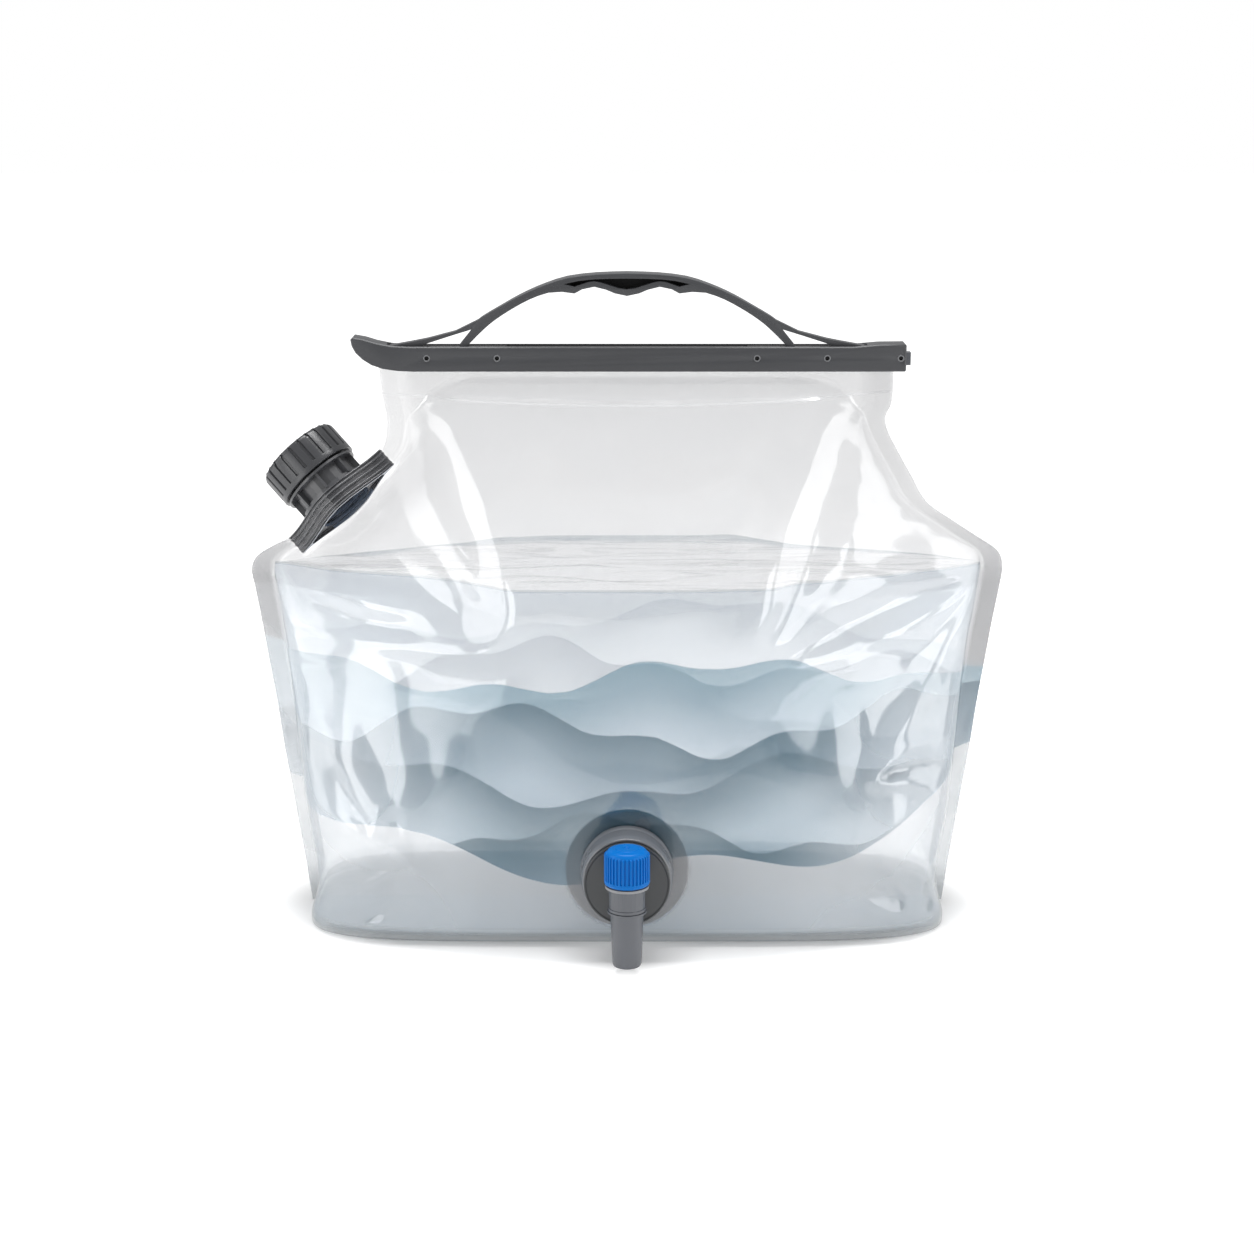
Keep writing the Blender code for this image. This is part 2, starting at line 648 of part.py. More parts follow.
def bar_outline(levels):
    """Side view of the closure bar: a boat's bow at the left, a slight heel at the right."""
    low, high = levels["low"], levels["high"]
    left, right = bar_ends()
    height = BAR_HEIGHT + BOW_RISE
    points = [(left + BOW_LENGTH * u, low + height * v) for u, v in BOW_UNDERSIDE_SHARES]
    edge = BAR_EDGE
    points += [(right - edge, low), (right, low + edge)]
    points += [(right, high + HEEL_RISE - edge), (right - edge, high + HEEL_RISE)]
    points += [(right - HEEL_LENGTH / 2, high + HEEL_RISE * HEEL_CURVE_SHARE)]
    points += [(right - HEEL_LENGTH, high)]
    points += [(left + BOW_LENGTH * u, high + BOW_RISE * v) for u, v in reversed(BOW_TOP_SHARES)]
    return points


def pin_hole(name, x, z, radius):
    """A hole across the bar."""
    hole = rod(name, radius, BAR_DEPTH + 2 * OVERRUN, COARSE)
    return along_y(hole, (x, BAR_DEPTH / 2 + OVERRUN, z))


def closure_bar(levels, finish):
    """The bar: a track below that slides over the mouth's rails, a trough above for the handle's feet."""
    bar = slab("slider_bar", bar_outline(levels), -BAR_DEPTH / 2, BAR_DEPTH / 2, finish)
    bevel = bar.modifiers.new("edge", "BEVEL")
    bevel.width = BAR_EDGE
    bevel.segments = 1
    bevel.limit_method = "ANGLE"
    bevel.angle_limit = math.radians(BEVEL_EDGE_DEGREES)
    left, right = bar_ends()
    trough = trough_half_length()
    start, stop = left - OVERRUN, right - PLUG_LENGTH
    cut(bar, block("track_cutter", (start, -TRACK_WIDTH / 2, levels["track_low"]),
                   (stop, TRACK_WIDTH / 2, levels["track_high"])))
    cut(bar, block("slot_cutter", (start, -SLOT_WIDTH / 2, levels["low"] - OVERRUN),
                   (stop, SLOT_WIDTH / 2, levels["track_high"] - GAP)))
    cut(bar, block("trough_cutter", (-trough, -TROUGH_WIDTH / 2, levels["trough"]),
                   (trough, TROUGH_WIDTH / 2, levels["high"] + BOW_RISE + OVERRUN)))
    cut(bar, block("plug_cutter", (stop - GAP, -TROUGH_WIDTH / 2, levels["track_low"]),
                   (right + OVERRUN, TROUGH_WIDTH / 2, levels["high"] - PLUG_TOP_DROP)))
    for number, x in enumerate(handle_pin_places(), 1):
        cut(bar, pin_hole(f"bar_pin_hole_{number}", x, levels["pins"], HANDLE_PIN_RADIUS + GAP))
    cut(bar, pin_hole("bar_end_hole", right - END_PIN_INSET, levels["pins"], END_PIN_RADIUS + GAP))
    return bar


def strut_foot():
    """Half the distance between the feet of the handle's two struts."""
    return HANDLE_HALF_SPAN * ARCH_INNER_SHARES[0][0]


def handle_pin_places():
    """Where the four pins lie along the bar."""
    inner = strut_foot() - HANDLE_PIN_FROM_FOOT
    outer = HANDLE_HALF_SPAN - HANDLE_PIN_FROM_TIP
    return (-outer, -inner, inner, outer)


def end_plug(levels, finish):
    """The block that closes the track's right end, with a small tab outside."""
    right = bar_ends()[1]
    stop = right - PLUG_LENGTH
    plug = block("end_plug", (stop, -TROUGH_WIDTH / 2 + GAP, levels["track_low"] + GAP),
                 (right + GAP, TROUGH_WIDTH / 2 - GAP, levels["high"] - PLUG_TOP_DROP - GAP), finish)
    middle = (levels["track_low"] + levels["high"] - PLUG_TOP_DROP) / 2
    half_width, half_height = PLUG_TAB_WIDTH / 2, PLUG_TAB_HEIGHT / 2
    join(plug, block("plug_tab", (right - WELD_OVERLAP, -half_width, middle - half_height),
                     (right + PLUG_TAB_LENGTH, half_width, middle + half_height)))
    cut(plug, pin_hole("plug_pin_hole", right - END_PIN_INSET, levels["pins"], END_PIN_RADIUS + GAP))
    return plug


def pin(name, x, z, radius, finish):
    """A plain pin across the bar, a little shorter than its hole."""
    made = rod(name, radius, BAR_DEPTH - 2 * PIN_RECESS, COARSE, finish)
    return along_y(made, (x, BAR_DEPTH / 2 - PIN_RECESS, z))


def mouth_rail(name, side, levels, finish):
    """The strip welded outside the mouth's film, which the bar's lips hold."""
    inner = FILM + GAP + RAIL_SIDE_GAP
    left, right = left_edge(POUCH_TOP) + RAIL_INSET, right_edge(POUCH_TOP) - RAIL_INSET
    near, far = sorted((side * inner, side * (inner + RAIL_DEPTH)))
    low, high = levels["track_low"] + GAP, levels["track_high"] - GAP
    return block(name, (left, near, low), (right, far, high), finish)


def handle_half_width(x):
    """Half the handle's width across the bar, thin at its tails and wide at the grip."""
    share = (abs(x) - GRIP_HALF_LENGTH) / (strut_foot() - GRIP_HALF_LENGTH)
    return TAIL_WIDTH / 2 + (GRIP_WIDTH - TAIL_WIDTH) / 2 * (1 - smooth_step(share))


def mirrored(shares):
    """Points of a right-hand outline continued over the middle to the left-hand one."""
    return [(-u, v) for u, v in shares[:-1]] + list(reversed(shares))


def handle_point(share, levels):
    """A point of the handle's side view, from its shares."""
    return HANDLE_HALF_SPAN * share[0], levels["high"] + HANDLE_HEIGHT * share[1]


def limb(name, outer, inner, levels, step=0.0, finish=None):
    """A bar of the handle between an outer and an inner line, as wide as the handle is there less a step."""
    bm = bmesh.new()
    sections = []
    for a, b in zip(outer, inner):
        (xa, za), (xb, zb) = handle_point(a, levels), handle_point(b, levels)
        wa, wb = handle_half_width(xa) - step, handle_half_width(xb) - step
        corners = ((xa, -wa, za), (xa, wa, za), (xb, wb, zb), (xb, -wb, zb))
        sections.append([bm.verts.new(p) for p in corners])
    for one, two in zip(sections, sections[1:]):
        for j in range(4):
            k = (j + 1) % 4
            bm.faces.new((one[j], one[k], two[k], two[j]))
    bm.faces.new(sections[0])
    bm.faces.new(sections[-1])
    bmesh.ops.triangulate(bm, faces=[f for f in bm.faces if len(f.verts) == 4])
    return finished(name, bm, finish)


def resampled(shares, count):
    """Points spaced evenly along a smooth curve through shares."""
    runs = [0.0]
    for a, b in zip(shares, shares[1:]):
        runs.append(runs[-1] + math.dist(a, b))
    across = [(run, u) for run, (u, _) in zip(runs, shares)]
    up = [(run, v) for run, (_, v) in zip(runs, shares)]
    spots = [runs[-1] * i / (count - 1) for i in range(count)]
    return [(read_curve(across, s), read_curve(up, s)) for s in spots]


def handle(levels, finish):
    """The arched handle: a grip with a wavy underside and a pocket, two legs, and two long tails."""
    feet = -(levels["high"] - levels["trough"]) / 2 / HANDLE_HEIGHT
    outer = [(ARCH_OUTER_SHARES[0][0], feet), *ARCH_OUTER_SHARES]
    inner = [(ARCH_INNER_SHARES[0][0], feet), *ARCH_INNER_SHARES]
    outer, inner = (mirrored(resampled(line, ARCH_SECTIONS)) for line in (outer, inner))
    arch = limb("handle", outer, inner, levels, 0.0, finish)
    for side, word in ((-1, "left"), (1, "right")):
        tail_outer = [(side * u, v) for u, v in TAIL_OUTER_SHARES]
        tail_inner = [(side * u, v) for u, v in TAIL_INNER_SHARES]
        join(arch, limb(f"tail_{word}", tail_outer, tail_inner, levels, TAIL_STEP))
        tenon = handle_pin_places()[2] - TENON_PAST_PIN
        near, far = sorted((side * tenon, side * (trough_half_length() - GAP)))
        half_width = (TAIL_WIDTH - TAIL_STEP) / 2
        join(arch, block(f"tenon_{word}", (near, -half_width, levels["trough"] + GAP),
                         (far, half_width, levels["high"] - TENON_DROP)))
    pocket_top = mirrored(list(reversed(POCKET_TOP_SHARES)))
    pocket_floor = mirrored(POCKET_FLOOR_SHARES)
    outline = [handle_point(p, levels) for p in pocket_top + list(reversed(pocket_floor))]
    for side, word in ((-1, "front"), (1, "back")):
        near, far = sorted((side * GRIP_WEB / 2, side * (GRIP_WIDTH / 2 + OVERRUN)))
        cut(arch, slab(f"grip_pocket_{word}", outline, near, far))
    for number, x in enumerate(handle_pin_places(), 1):
        cut(arch, pin_hole(f"handle_pin_hole_{number}", x, levels["pins"], HANDLE_PIN_RADIUS + GAP))
    return arch


def filler_matrix():
    """The filler's own frame: X along the shoulder, Z out of the neck."""
    middle, along, outward = fitment_frame()
    x_axis = Vector((along.x, 0, along.y))
    out = Vector((outward.x, 0, outward.y))
    tilt = math.radians(NECK_TILT_DEGREES)
    z_axis = out * math.cos(tilt) + Vector((0, 1, 0)) * math.sin(tilt)
    y_axis = z_axis.cross(x_axis)
    turn = Matrix((x_axis, y_axis, z_axis)).transposed().to_4x4()
    return Matrix.Translation((middle.x, 0, middle.y)) @ turn


def canoe(name, extra, low, high, finish=None):
    """A slice of the fitment's canoe shape, swollen by extra."""
    sides = []
    for i in range(FITMENT_SECTIONS + 1):
        share = math.sin(math.pi / 2 * (2 * i / FITMENT_SECTIONS - 1))
        thick = fitment_half_thickness(share) + extra
        if thick > 0:
            sides.append((share * FITMENT_LENGTH / 2, thick))
    outline = [(x, -y) for x, y in sides] + [(x, y) for x, y in reversed(sides)]
    bm = bmesh.new()
    face = bm.faces.new([bm.verts.new((x, y, low)) for x, y in outline])
    moved = bmesh.ops.extrude_face_region(bm, geom=[face])
    for vertex in (v for v in moved["geom"] if isinstance(v, bmesh.types.BMVert)):
        vertex.co.z = high
    return finished(name, bm, finish)


def neck_levels():
    """Heights along the neck's axis."""
    collar = FITMENT_ABOVE + COLLAR_THICKNESS
    throat = collar + THROAT_HEIGHT
    cap_collar = throat + CAP_COLLAR_THICKNESS
    cap_low = cap_collar + CAP_GAP
    lip = cap_low + CAP_HEIGHT - CAP_TOP - SEAL_THICKNESS - 2 * GAP
    return {"collar": collar, "throat": throat, "cap_collar": cap_collar, "cap_low": cap_low, "lip": lip}


def thread(name, radius, depth, base, finish=None):
    """A screw thread as one swept ridge."""
    bm = bmesh.new()
    steps = round(THREAD_TURNS * MEDIUM)
    sections = []
    for i in range(steps + 1):
        angle = math.tau * i / MEDIUM
        z = base + THREAD_PITCH * i / MEDIUM
        fade = min(i, steps - i, THREAD_RUN_IN) / THREAD_RUN_IN
        crest = radius + depth * fade
        half = THREAD_WIDTH / 2
        root = radius - WELD_OVERLAP
        corners = ((root, -half), (crest, -half / 2), (crest, half / 2), (root, half))
        across, up = math.cos(angle), math.sin(angle)
        sections.append([bm.verts.new((r * across, r * up, z + h)) for r, h in corners])
    for one, two in zip(sections, sections[1:]):
        for j in range(4):
            k = (j + 1) % 4
            bm.faces.new((one[j], one[k], two[k], two[j]))
    bm.faces.new(sections[0])
    bm.faces.new(sections[-1])
    return finished(name, bm, finish)


def filler_neck(frame, finish):
    """The canoe-shaped fitment welded into the shoulder, with its collars, throat and threaded mouth."""
    z = neck_levels()
    pitch = (FITMENT_BELOW + FITMENT_ABOVE) / (2 * FITMENT_RIBS + 1)
    body = canoe("filler_neck", 0, -FITMENT_BELOW, FITMENT_ABOVE, finish)
    helpers = []
    for i in range(FITMENT_RIBS):
        low = -FITMENT_BELOW + pitch * (2 * i + 1)
        helpers.append(canoe(f"fitment_rib_{i + 1}", FITMENT_RIB, low, low + pitch))
    wall = FILLER_WALL_RADIUS
    root = THREAD_RADIUS
    seat = FITMENT_ABOVE - WELD_OVERLAP
    foot = FITMENT_ABOVE - FITMENT_ROOF
    profile = ((0, foot), (wall, foot), (wall, seat), (COLLAR_RADIUS, seat), (COLLAR_RADIUS, z["collar"]),
               (wall, z["collar"]), (wall, z["throat"]), (CAP_COLLAR_RADIUS, z["throat"]),
               (CAP_COLLAR_RADIUS, z["cap_collar"]), (root, z["cap_collar"]), (root, z["lip"]),
               (0, z["lip"]))
    helpers.append(turned("neck_core", profile, FINE, None))
    for i in range(THROAT_WEBS):
        low, high = z["collar"] - WELD_OVERLAP, z["throat"] + WELD_OVERLAP
        web = block(f"throat_web_{i + 1}", (wall - WELD_OVERLAP, -THROAT_WEB_WIDTH / 2, low),
                    (THROAT_WEB_RADIUS, THROAT_WEB_WIDTH / 2, high))
        web.matrix_world = Matrix.Rotation(math.tau * (i + THROAT_WEB_TURN_SHARE) / THROAT_WEBS, 4, "Z")
        helpers.append(web)
    helpers.append(thread("neck_thread", root, THREAD_DEPTH, z["cap_low"] + THREAD_WIDTH + GAP))
    bore = rod("filler_bore", FILLER_BORE, z["lip"] + FITMENT_BELOW + 2 * OVERRUN, FINE)
    bore.matrix_world = Matrix.Translation((0, 0, -FITMENT_BELOW - OVERRUN))
    hollow = canoe("fitment_hollow", -FITMENT_WALL, -FITMENT_BELOW - OVERRUN, FITMENT_ABOVE - FITMENT_ROOF)
    body.matrix_world = frame
    hollow.matrix_world = frame
    cut(body, hollow)
    for other in helpers:
        other.matrix_world = frame @ other.matrix_world
        join(body, other)
    bore.matrix_world = frame @ bore.matrix_world
    return cut(body, bore)


def filler_cap(frame, finish):
    """The ribbed screw cap, open below."""
    z = neck_levels()
    low, high = z["cap_low"], z["cap_low"] + CAP_HEIGHT
    inner = CAP_RADIUS - CAP_WALL
    ceiling = high - CAP_TOP
    band = low + CAP_RIM_BAND
    profile = ((inner, low), (CAP_RADIUS, low), (CAP_RADIUS, band), (CAP_RADIUS, band + CAP_FLUTE),
               (CAP_RADIUS, high - CAP_CHAMFER), (CAP_RADIUS - CAP_CHAMFER / 2, high - CAP_CHAMFER / 2),
               (CAP_RADIUS - CAP_CROWN_INSET, high), (0, high), (0, ceiling), (inner, ceiling))
    flutes = ((3, CAP_FLUTE), (4, CAP_FLUTE), (5, CAP_FLUTE / 2))
    cap = turned("filler_cap", profile, 2 * CAP_RIBS, finish, flutes)
    cap.matrix_world = frame
    return cap


def cap_seal(frame, finish):
    """The soft ring in the cap's ceiling, which lies on the neck's lip."""
    z = neck_levels()
    low = z["lip"] + GAP
    inner, outer = FILLER_BORE - SEAL_WIDTH / 2, FILLER_BORE + SEAL_WIDTH
    seal = ring("cap_seal", inner, outer, low, low + SEAL_THICKNESS, FINE, finish)
    seal.matrix_world = frame
    return seal


def tap_point(forward, up=0.0):
    """A point in front of the wall at the tap, on the tap's upright plane."""
    return Vector((0, -BASE_HALF_DEPTH - WALL_SWELL - forward, TAP_HEIGHT + up))


def tap_fitment(finish):
    """The ring welded inside the front film, with a neck that comes out through it."""
    back = -FILM - GAP - WELD_RING_THICKNESS
    front = back + WELD_RING_THICKNESS
    profile = ((TAP_NECK_BORE, back), (WELD_RING_RADIUS, back), (WELD_RING_RADIUS, front),
               (TAP_NECK_RADIUS, front), (TAP_NECK_RADIUS, TAP_NECK_LENGTH),
               (TAP_NECK_BORE, TAP_NECK_LENGTH))
    return along_y(turned("tap_fitment", profile, FINE, finish), tap_point(0))


def clamp_ring(finish):
    """The bevelled ring in front of the film, round the fitment's neck."""
    inner, front = TAP_NECK_RADIUS + GAP, GAP + CLAMP_RING_LENGTH
    recess = inner + NUT_SKIRT_WALL + 2 * NUT_SKIRT_GAP
    foot = GAP + CLAMP_RING_FOOT
    shoulder = foot + (CLAMP_RING_RADIUS - CLAMP_RING_SHOULDER)
    profile = ((inner, GAP), (CLAMP_RING_RADIUS, GAP), (CLAMP_RING_RADIUS, foot),
               (CLAMP_RING_SHOULDER, shoulder), (CLAMP_RING_FRONT, front - CLAMP_RING_EDGE),
               (CLAMP_RING_FRONT - CLAMP_RING_EDGE, front),
               (recess, front), (recess, GAP + CLAMP_RING_FLOOR), (inner, GAP + CLAMP_RING_FLOOR))
    return along_y(turned("clamp_ring", profile, FINE, finish), tap_point(0))


def tap_levels():
    """Distances in front of the wall, for the pieces stacked on the tap's level axis."""
    gasket = TAP_NECK_LENGTH + GAP
    flange = gasket + TAP_GASKET_THICKNESS + GAP
    face = flange + TAP_FLANGE_THICKNESS + GAP
    return {"gasket": gasket, "flange": flange, "nut_inside": face, "nut_front": face + NUT_FACE,
            "nut_back": GAP + CLAMP_RING_FLOOR + NUT_SKIRT_GAP}


def tap_nut(finish):
    """The dark cap nut that holds the tap's flange on the fitment."""
    w = tap_levels()
    inner = TAP_NECK_RADIUS + GAP
    skirt = inner + NUT_SKIRT_GAP + NUT_SKIRT_WALL
    inner += NUT_SKIRT_GAP / 2
    hole = TAP_PIPE_RADIUS + STEM_CLEARANCE
    profile = ((inner, w["nut_back"]), (skirt, w["nut_back"]), (skirt, w["nut_inside"]),
               (NUT_RADIUS, w["nut_inside"]), (NUT_RADIUS, w["nut_front"] - NUT_EDGE),
               (NUT_RADIUS - NUT_EDGE, w["nut_front"]), (hole, w["nut_front"]), (hole, w["nut_inside"]),
               (inner, w["nut_inside"]))
    return along_y(turned("tap_nut", profile, FINE, finish), tap_point(0))


def tap_gasket(finish):
    """The flat ring between the fitment's neck and the tap's flange."""
    w = tap_levels()
    low, high = w["gasket"], w["gasket"] + TAP_GASKET_THICKNESS
    flat = ring("tap_gasket", TAP_NECK_BORE, TAP_FLANGE_RADIUS, low, high, MEDIUM, finish)
    return along_y(flat, tap_point(0))


def tap_axis(up=0.0):
    """A point on the tap's upright axis, a distance above its level one."""
    return tap_point(TAP_REACH, up)


def tap_body(finish):
    """The tap: a flange and level pipe from the pouch, and an upright barrel with the valve's chamber."""
    w = tap_levels()
    chamber = TAP_BODY_RADIUS - TAP_BODY_WALL
    seat_low = -SEAT_DROP - SEAT_THICKNESS
    collar_low = -TAP_BODY_BOTTOM - TAP_COLLAR_HEIGHT / 2
    collar_high = collar_low + TAP_COLLAR_HEIGHT
    socket = NOZZLE_TOP_RADIUS - WELD_OVERLAP + GAP
    profile = ((chamber, TAP_BODY_TOP), (TAP_BODY_RADIUS, TAP_BODY_TOP), (TAP_BODY_RADIUS, collar_high),
               (TAP_COLLAR_RADIUS, collar_high - GAP), (TAP_COLLAR_RADIUS, collar_low), (socket, collar_low),
               (socket, seat_low), (SEAT_HOLE, seat_low), (SEAT_HOLE, -SEAT_DROP), (chamber, -SEAT_DROP))
    barrel = turned("tap_body", profile, MEDIUM, finish)
    barrel.matrix_world = Matrix.Translation(tap_axis())
    flange = rod("tap_flange", TAP_FLANGE_RADIUS, TAP_FLANGE_THICKNESS, MEDIUM)
    join(barrel, along_y(flange, tap_point(w["flange"])))
    bridge_start = w["nut_front"] + TAP_BRIDGE_START
    reach = bridge_start - w["flange"]
    pipe = along_y(rod("tap_pipe", TAP_PIPE_RADIUS, reach, COARSE), tap_point(w["flange"] + WELD_OVERLAP))
    join(barrel, pipe)
    near = tap_point(bridge_start, TAP_BRIDGE_RISE) + Vector((TAP_BRIDGE_HALF_WIDTH, 0, 0))
    far = tap_axis(-TAP_BRIDGE_DROP) + Vector((-TAP_BRIDGE_HALF_WIDTH, chamber, 0))
    join(barrel, block("tap_bridge", (far.x, far.y, far.z), (near.x, near.y, near.z)))
    bore = rod("tap_pipe_bore", TAP_PIPE_BORE, TAP_REACH - w["flange"] + OVERRUN, COARSE)
    return cut(barrel, along_y(bore, tap_point(w["flange"] - OVERRUN)))


def bonnet(finish):
    """The plug that closes the barrel's top and carries the knob's thread."""
    chamber = TAP_BODY_RADIUS - TAP_BODY_WALL
    low = TAP_BODY_TOP - BONNET_PLUG_DEPTH
    flange_low = TAP_BODY_TOP + GAP
    flange_high = flange_low + BONNET_FLANGE_THICKNESS
    top = flange_high + BONNET_BOSS_HEIGHT
    hole = STEM_RADIUS + STEM_CLEARANCE
    groove = STEM_RADIUS + 2 * GAP + 2 * ORING_RADIUS
    floor = top - 2 * ORING_RADIUS - 2 * GAP
    profile = ((hole, low), (chamber - GAP, low), (chamber - GAP, flange_low),
               (BONNET_FLANGE_RADIUS, flange_low), (BONNET_FLANGE_RADIUS, flange_high),
               (BONNET_BOSS_RADIUS, flange_high), (BONNET_BOSS_RADIUS, top), (groove, top), (groove, floor),
               (hole, floor))
    made = turned("bonnet", profile, MEDIUM, finish)
    made.matrix_world = Matrix.Translation(tap_axis())
    return made


def knob_levels():
    """Heights of the knob and of the bonnet's boss, from the tap's level axis."""
    low = TAP_BODY_TOP + 2 * GAP + BONNET_FLANGE_THICKNESS + GAP
    boss_top = TAP_BODY_TOP + GAP + BONNET_FLANGE_THICKNESS + BONNET_BOSS_HEIGHT
    ceiling = boss_top + STEM_HEAD_HEIGHT + 2 * GAP + STEM_TOP_GAP
    return {"low": low, "boss_top": boss_top, "ceiling": ceiling, "high": low + KNOB_HEIGHT}


def knob(finish):
    """The blue ribbed knob over the bonnet."""
    z = knob_levels()
    inner = BONNET_BOSS_RADIUS + KNOB_BORE_CLEARANCE
    shoulder = z["high"] - KNOB_SHOULDER
    profile = ((inner, z["low"]), (KNOB_RADIUS, z["low"]), (KNOB_RADIUS, z["low"] + KNOB_SKIRT),
               (KNOB_RADIUS, z["low"] + KNOB_SKIRT + KNOB_FLUTE), (KNOB_RADIUS, shoulder - KNOB_FLUTE),
               (KNOB_RADIUS, shoulder), (KNOB_SHOULDER_RADIUS, z["high"] - KNOB_CROWN),
               (KNOB_CROWN_RADIUS, z["high"]), (0, z["high"]), (0, z["ceiling"]), (inner, z["ceiling"]))
    made = turned("knob", profile, 2 * KNOB_RIBS, finish, ((3, KNOB_FLUTE), (4, KNOB_FLUTE)))
    made.matrix_world = Matrix.Translation(tap_axis())
    return made


def valve_stem(finish):
    """The stem: a plug over the seat, a rod up through the bonnet, and a head that the knob lifts."""
    low = -SEAT_DROP + GAP + SEAT_SEAL_THICKNESS + GAP
    head = knob_levels()["boss_top"] + GAP
    profile = ((0, low), (STEM_PLUG_RADIUS, low), (STEM_PLUG_RADIUS, low + STEM_PLUG_HEIGHT),
               (STEM_RADIUS, low + STEM_PLUG_HEIGHT), (STEM_RADIUS, head), (STEM_HEAD_RADIUS, head),
               (STEM_HEAD_RADIUS, head + STEM_HEAD_HEIGHT), (0, head + STEM_HEAD_HEIGHT))
    made = turned("valve_stem", profile, COARSE, finish)
    made.matrix_world = Matrix.Translation(tap_axis())
    return made


def seat_seal(finish):
    """The rubber disc under the stem's plug, which closes the seat."""
    low = -SEAT_DROP + GAP
    made = rod("seat_seal", STEM_PLUG_RADIUS, SEAT_SEAL_THICKNESS, COARSE, finish)
    made.matrix_world = Matrix.Translation(tap_axis(low))
    return made


def stem_oring(finish):
    """The O-ring round the stem in the bonnet's top."""
    middle = STEM_RADIUS + GAP + ORING_RADIUS
    height = knob_levels()["boss_top"] - ORING_RADIUS - GAP
    angles = [math.tau * i / ORING_SIDES for i in range(ORING_SIDES)]
    profile = [(middle + ORING_RADIUS * math.cos(a), height + ORING_RADIUS * math.sin(a)) for a in angles]
    made = turned("stem_oring", profile, COARSE, finish)
    made.matrix_world = Matrix.Translation(tap_axis())
    return made


def nozzle(finish):
    """The slightly tapered outlet pipe pushed up into the barrel."""
    foot = NOZZLE_FOOT - TAP_HEIGHT
    shoulder = -TAP_BODY_BOTTOM - TAP_COLLAR_HEIGHT / 2 - GAP
    plug = NOZZLE_TOP_RADIUS - WELD_OVERLAP
    plug_top = shoulder + NOZZLE_SPIGOT - GAP
    profile = ((NOZZLE_BORE, foot), (NOZZLE_FOOT_RADIUS - NOZZLE_EDGE, foot),
               (NOZZLE_FOOT_RADIUS, foot + NOZZLE_EDGE), (NOZZLE_TOP_RADIUS, shoulder), (plug, shoulder),
               (plug, plug_top), (NOZZLE_BORE, plug_top))
    made = turned("outlet_nozzle", profile, MEDIUM, finish)
    made.matrix_world = Matrix.Translation(tap_axis())
    return made


def front_film_hole(wall):
    """Cuts the hole in the front film for the tap's neck."""
    radius = TAP_NECK_RADIUS + FILM_HOLE_CLEARANCE
    hole = rod("front_film_hole", radius, BASE_HALF_DEPTH, FINE)
    return cut(wall, along_y(hole, tap_point(-BASE_HALF_DEPTH / 2)))


def main():
    """Builds every piece in its place."""
    for old in list(bpy.data.objects):
        bpy.data.objects.remove(old)
    film = material("clear film", (0.80, 0.84, 0.87), 0.15)
    grey = material("grey plastic", (0.095, 0.097, 0.102), 0.45)
    pale_grey = material("pale grey plastic", (0.235, 0.245, 0.26), 0.38)
    blue = material("blue plastic", (0.005, 0.21, 0.80), 0.32)
    rubber = material("seal rubber", (0.55, 0.56, 0.57), 0.6)
    steel = material("pin steel", (0.35, 0.35, 0.36), 0.35, 1.0)
    levels = bar_levels()
    frame = filler_matrix()
    front_film_hole(film_wall("front_film", -1, film))
    film_wall("back_film", 1, film)
    base_gusset(film)
    mouth_rail("front_rail", -1, levels, pale_grey)
    mouth_rail("back_rail", 1, levels, pale_grey)
    closure_bar(levels, grey)
    end_plug(levels, pale_grey)
    pin("end_pin", bar_ends()[1] - END_PIN_INSET, levels["pins"], END_PIN_RADIUS, steel)
    handle(levels, grey)
    for number, x in enumerate(handle_pin_places(), 1):
        pin(f"handle_pin_{number}", x, levels["pins"], HANDLE_PIN_RADIUS, steel)
    filler_neck(frame, grey)
    cap_seal(frame, rubber)
    filler_cap(frame, grey)
    tap_fitment(pale_grey)
    clamp_ring(pale_grey)
    tap_gasket(rubber)
    tap_nut(grey)
    tap_body(pale_grey)
    bonnet(pale_grey)
    nozzle(pale_grey)
    valve_stem(pale_grey)
    seat_seal(rubber)
    stem_oring(rubber)
    knob(blue)


main()
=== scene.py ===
import math

import bmesh
import bpy
import numpy as np
from mathutils import Matrix, Vector


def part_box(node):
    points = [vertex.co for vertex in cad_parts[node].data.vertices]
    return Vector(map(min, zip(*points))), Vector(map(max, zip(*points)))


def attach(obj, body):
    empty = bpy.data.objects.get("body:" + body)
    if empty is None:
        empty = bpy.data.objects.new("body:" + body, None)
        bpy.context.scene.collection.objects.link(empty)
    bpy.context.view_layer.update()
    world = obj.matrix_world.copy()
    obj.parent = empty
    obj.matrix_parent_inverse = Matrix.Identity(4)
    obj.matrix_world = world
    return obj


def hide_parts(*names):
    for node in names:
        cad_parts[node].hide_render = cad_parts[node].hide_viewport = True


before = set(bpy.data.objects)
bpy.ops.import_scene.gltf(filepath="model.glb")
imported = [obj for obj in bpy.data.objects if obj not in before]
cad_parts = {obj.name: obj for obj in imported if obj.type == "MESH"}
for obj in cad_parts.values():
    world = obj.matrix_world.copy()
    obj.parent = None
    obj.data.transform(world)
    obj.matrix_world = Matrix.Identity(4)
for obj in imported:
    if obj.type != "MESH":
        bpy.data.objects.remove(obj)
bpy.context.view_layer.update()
print("frame loaded:", len(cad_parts), "nodes")

# The camera stands where the product photographer's did
camera = {"place": (0, -1.45, 0.53), "tiltDown": 13.856, "lens": 71.77}
cameraData = bpy.data.cameras.new("camera")
cameraData.lens = camera["lens"]
cameraData.clip_start = 0.01
cameraObject = bpy.data.objects.new("camera", cameraData)
cameraObject.location = camera["place"]
cameraObject.rotation_euler = (math.radians(90 - camera["tiltDown"]), 0, 0)
bpy.context.scene.collection.objects.link(cameraObject)
bpy.context.scene.camera = cameraObject
bpy.context.scene.view_settings.view_transform = "Standard"


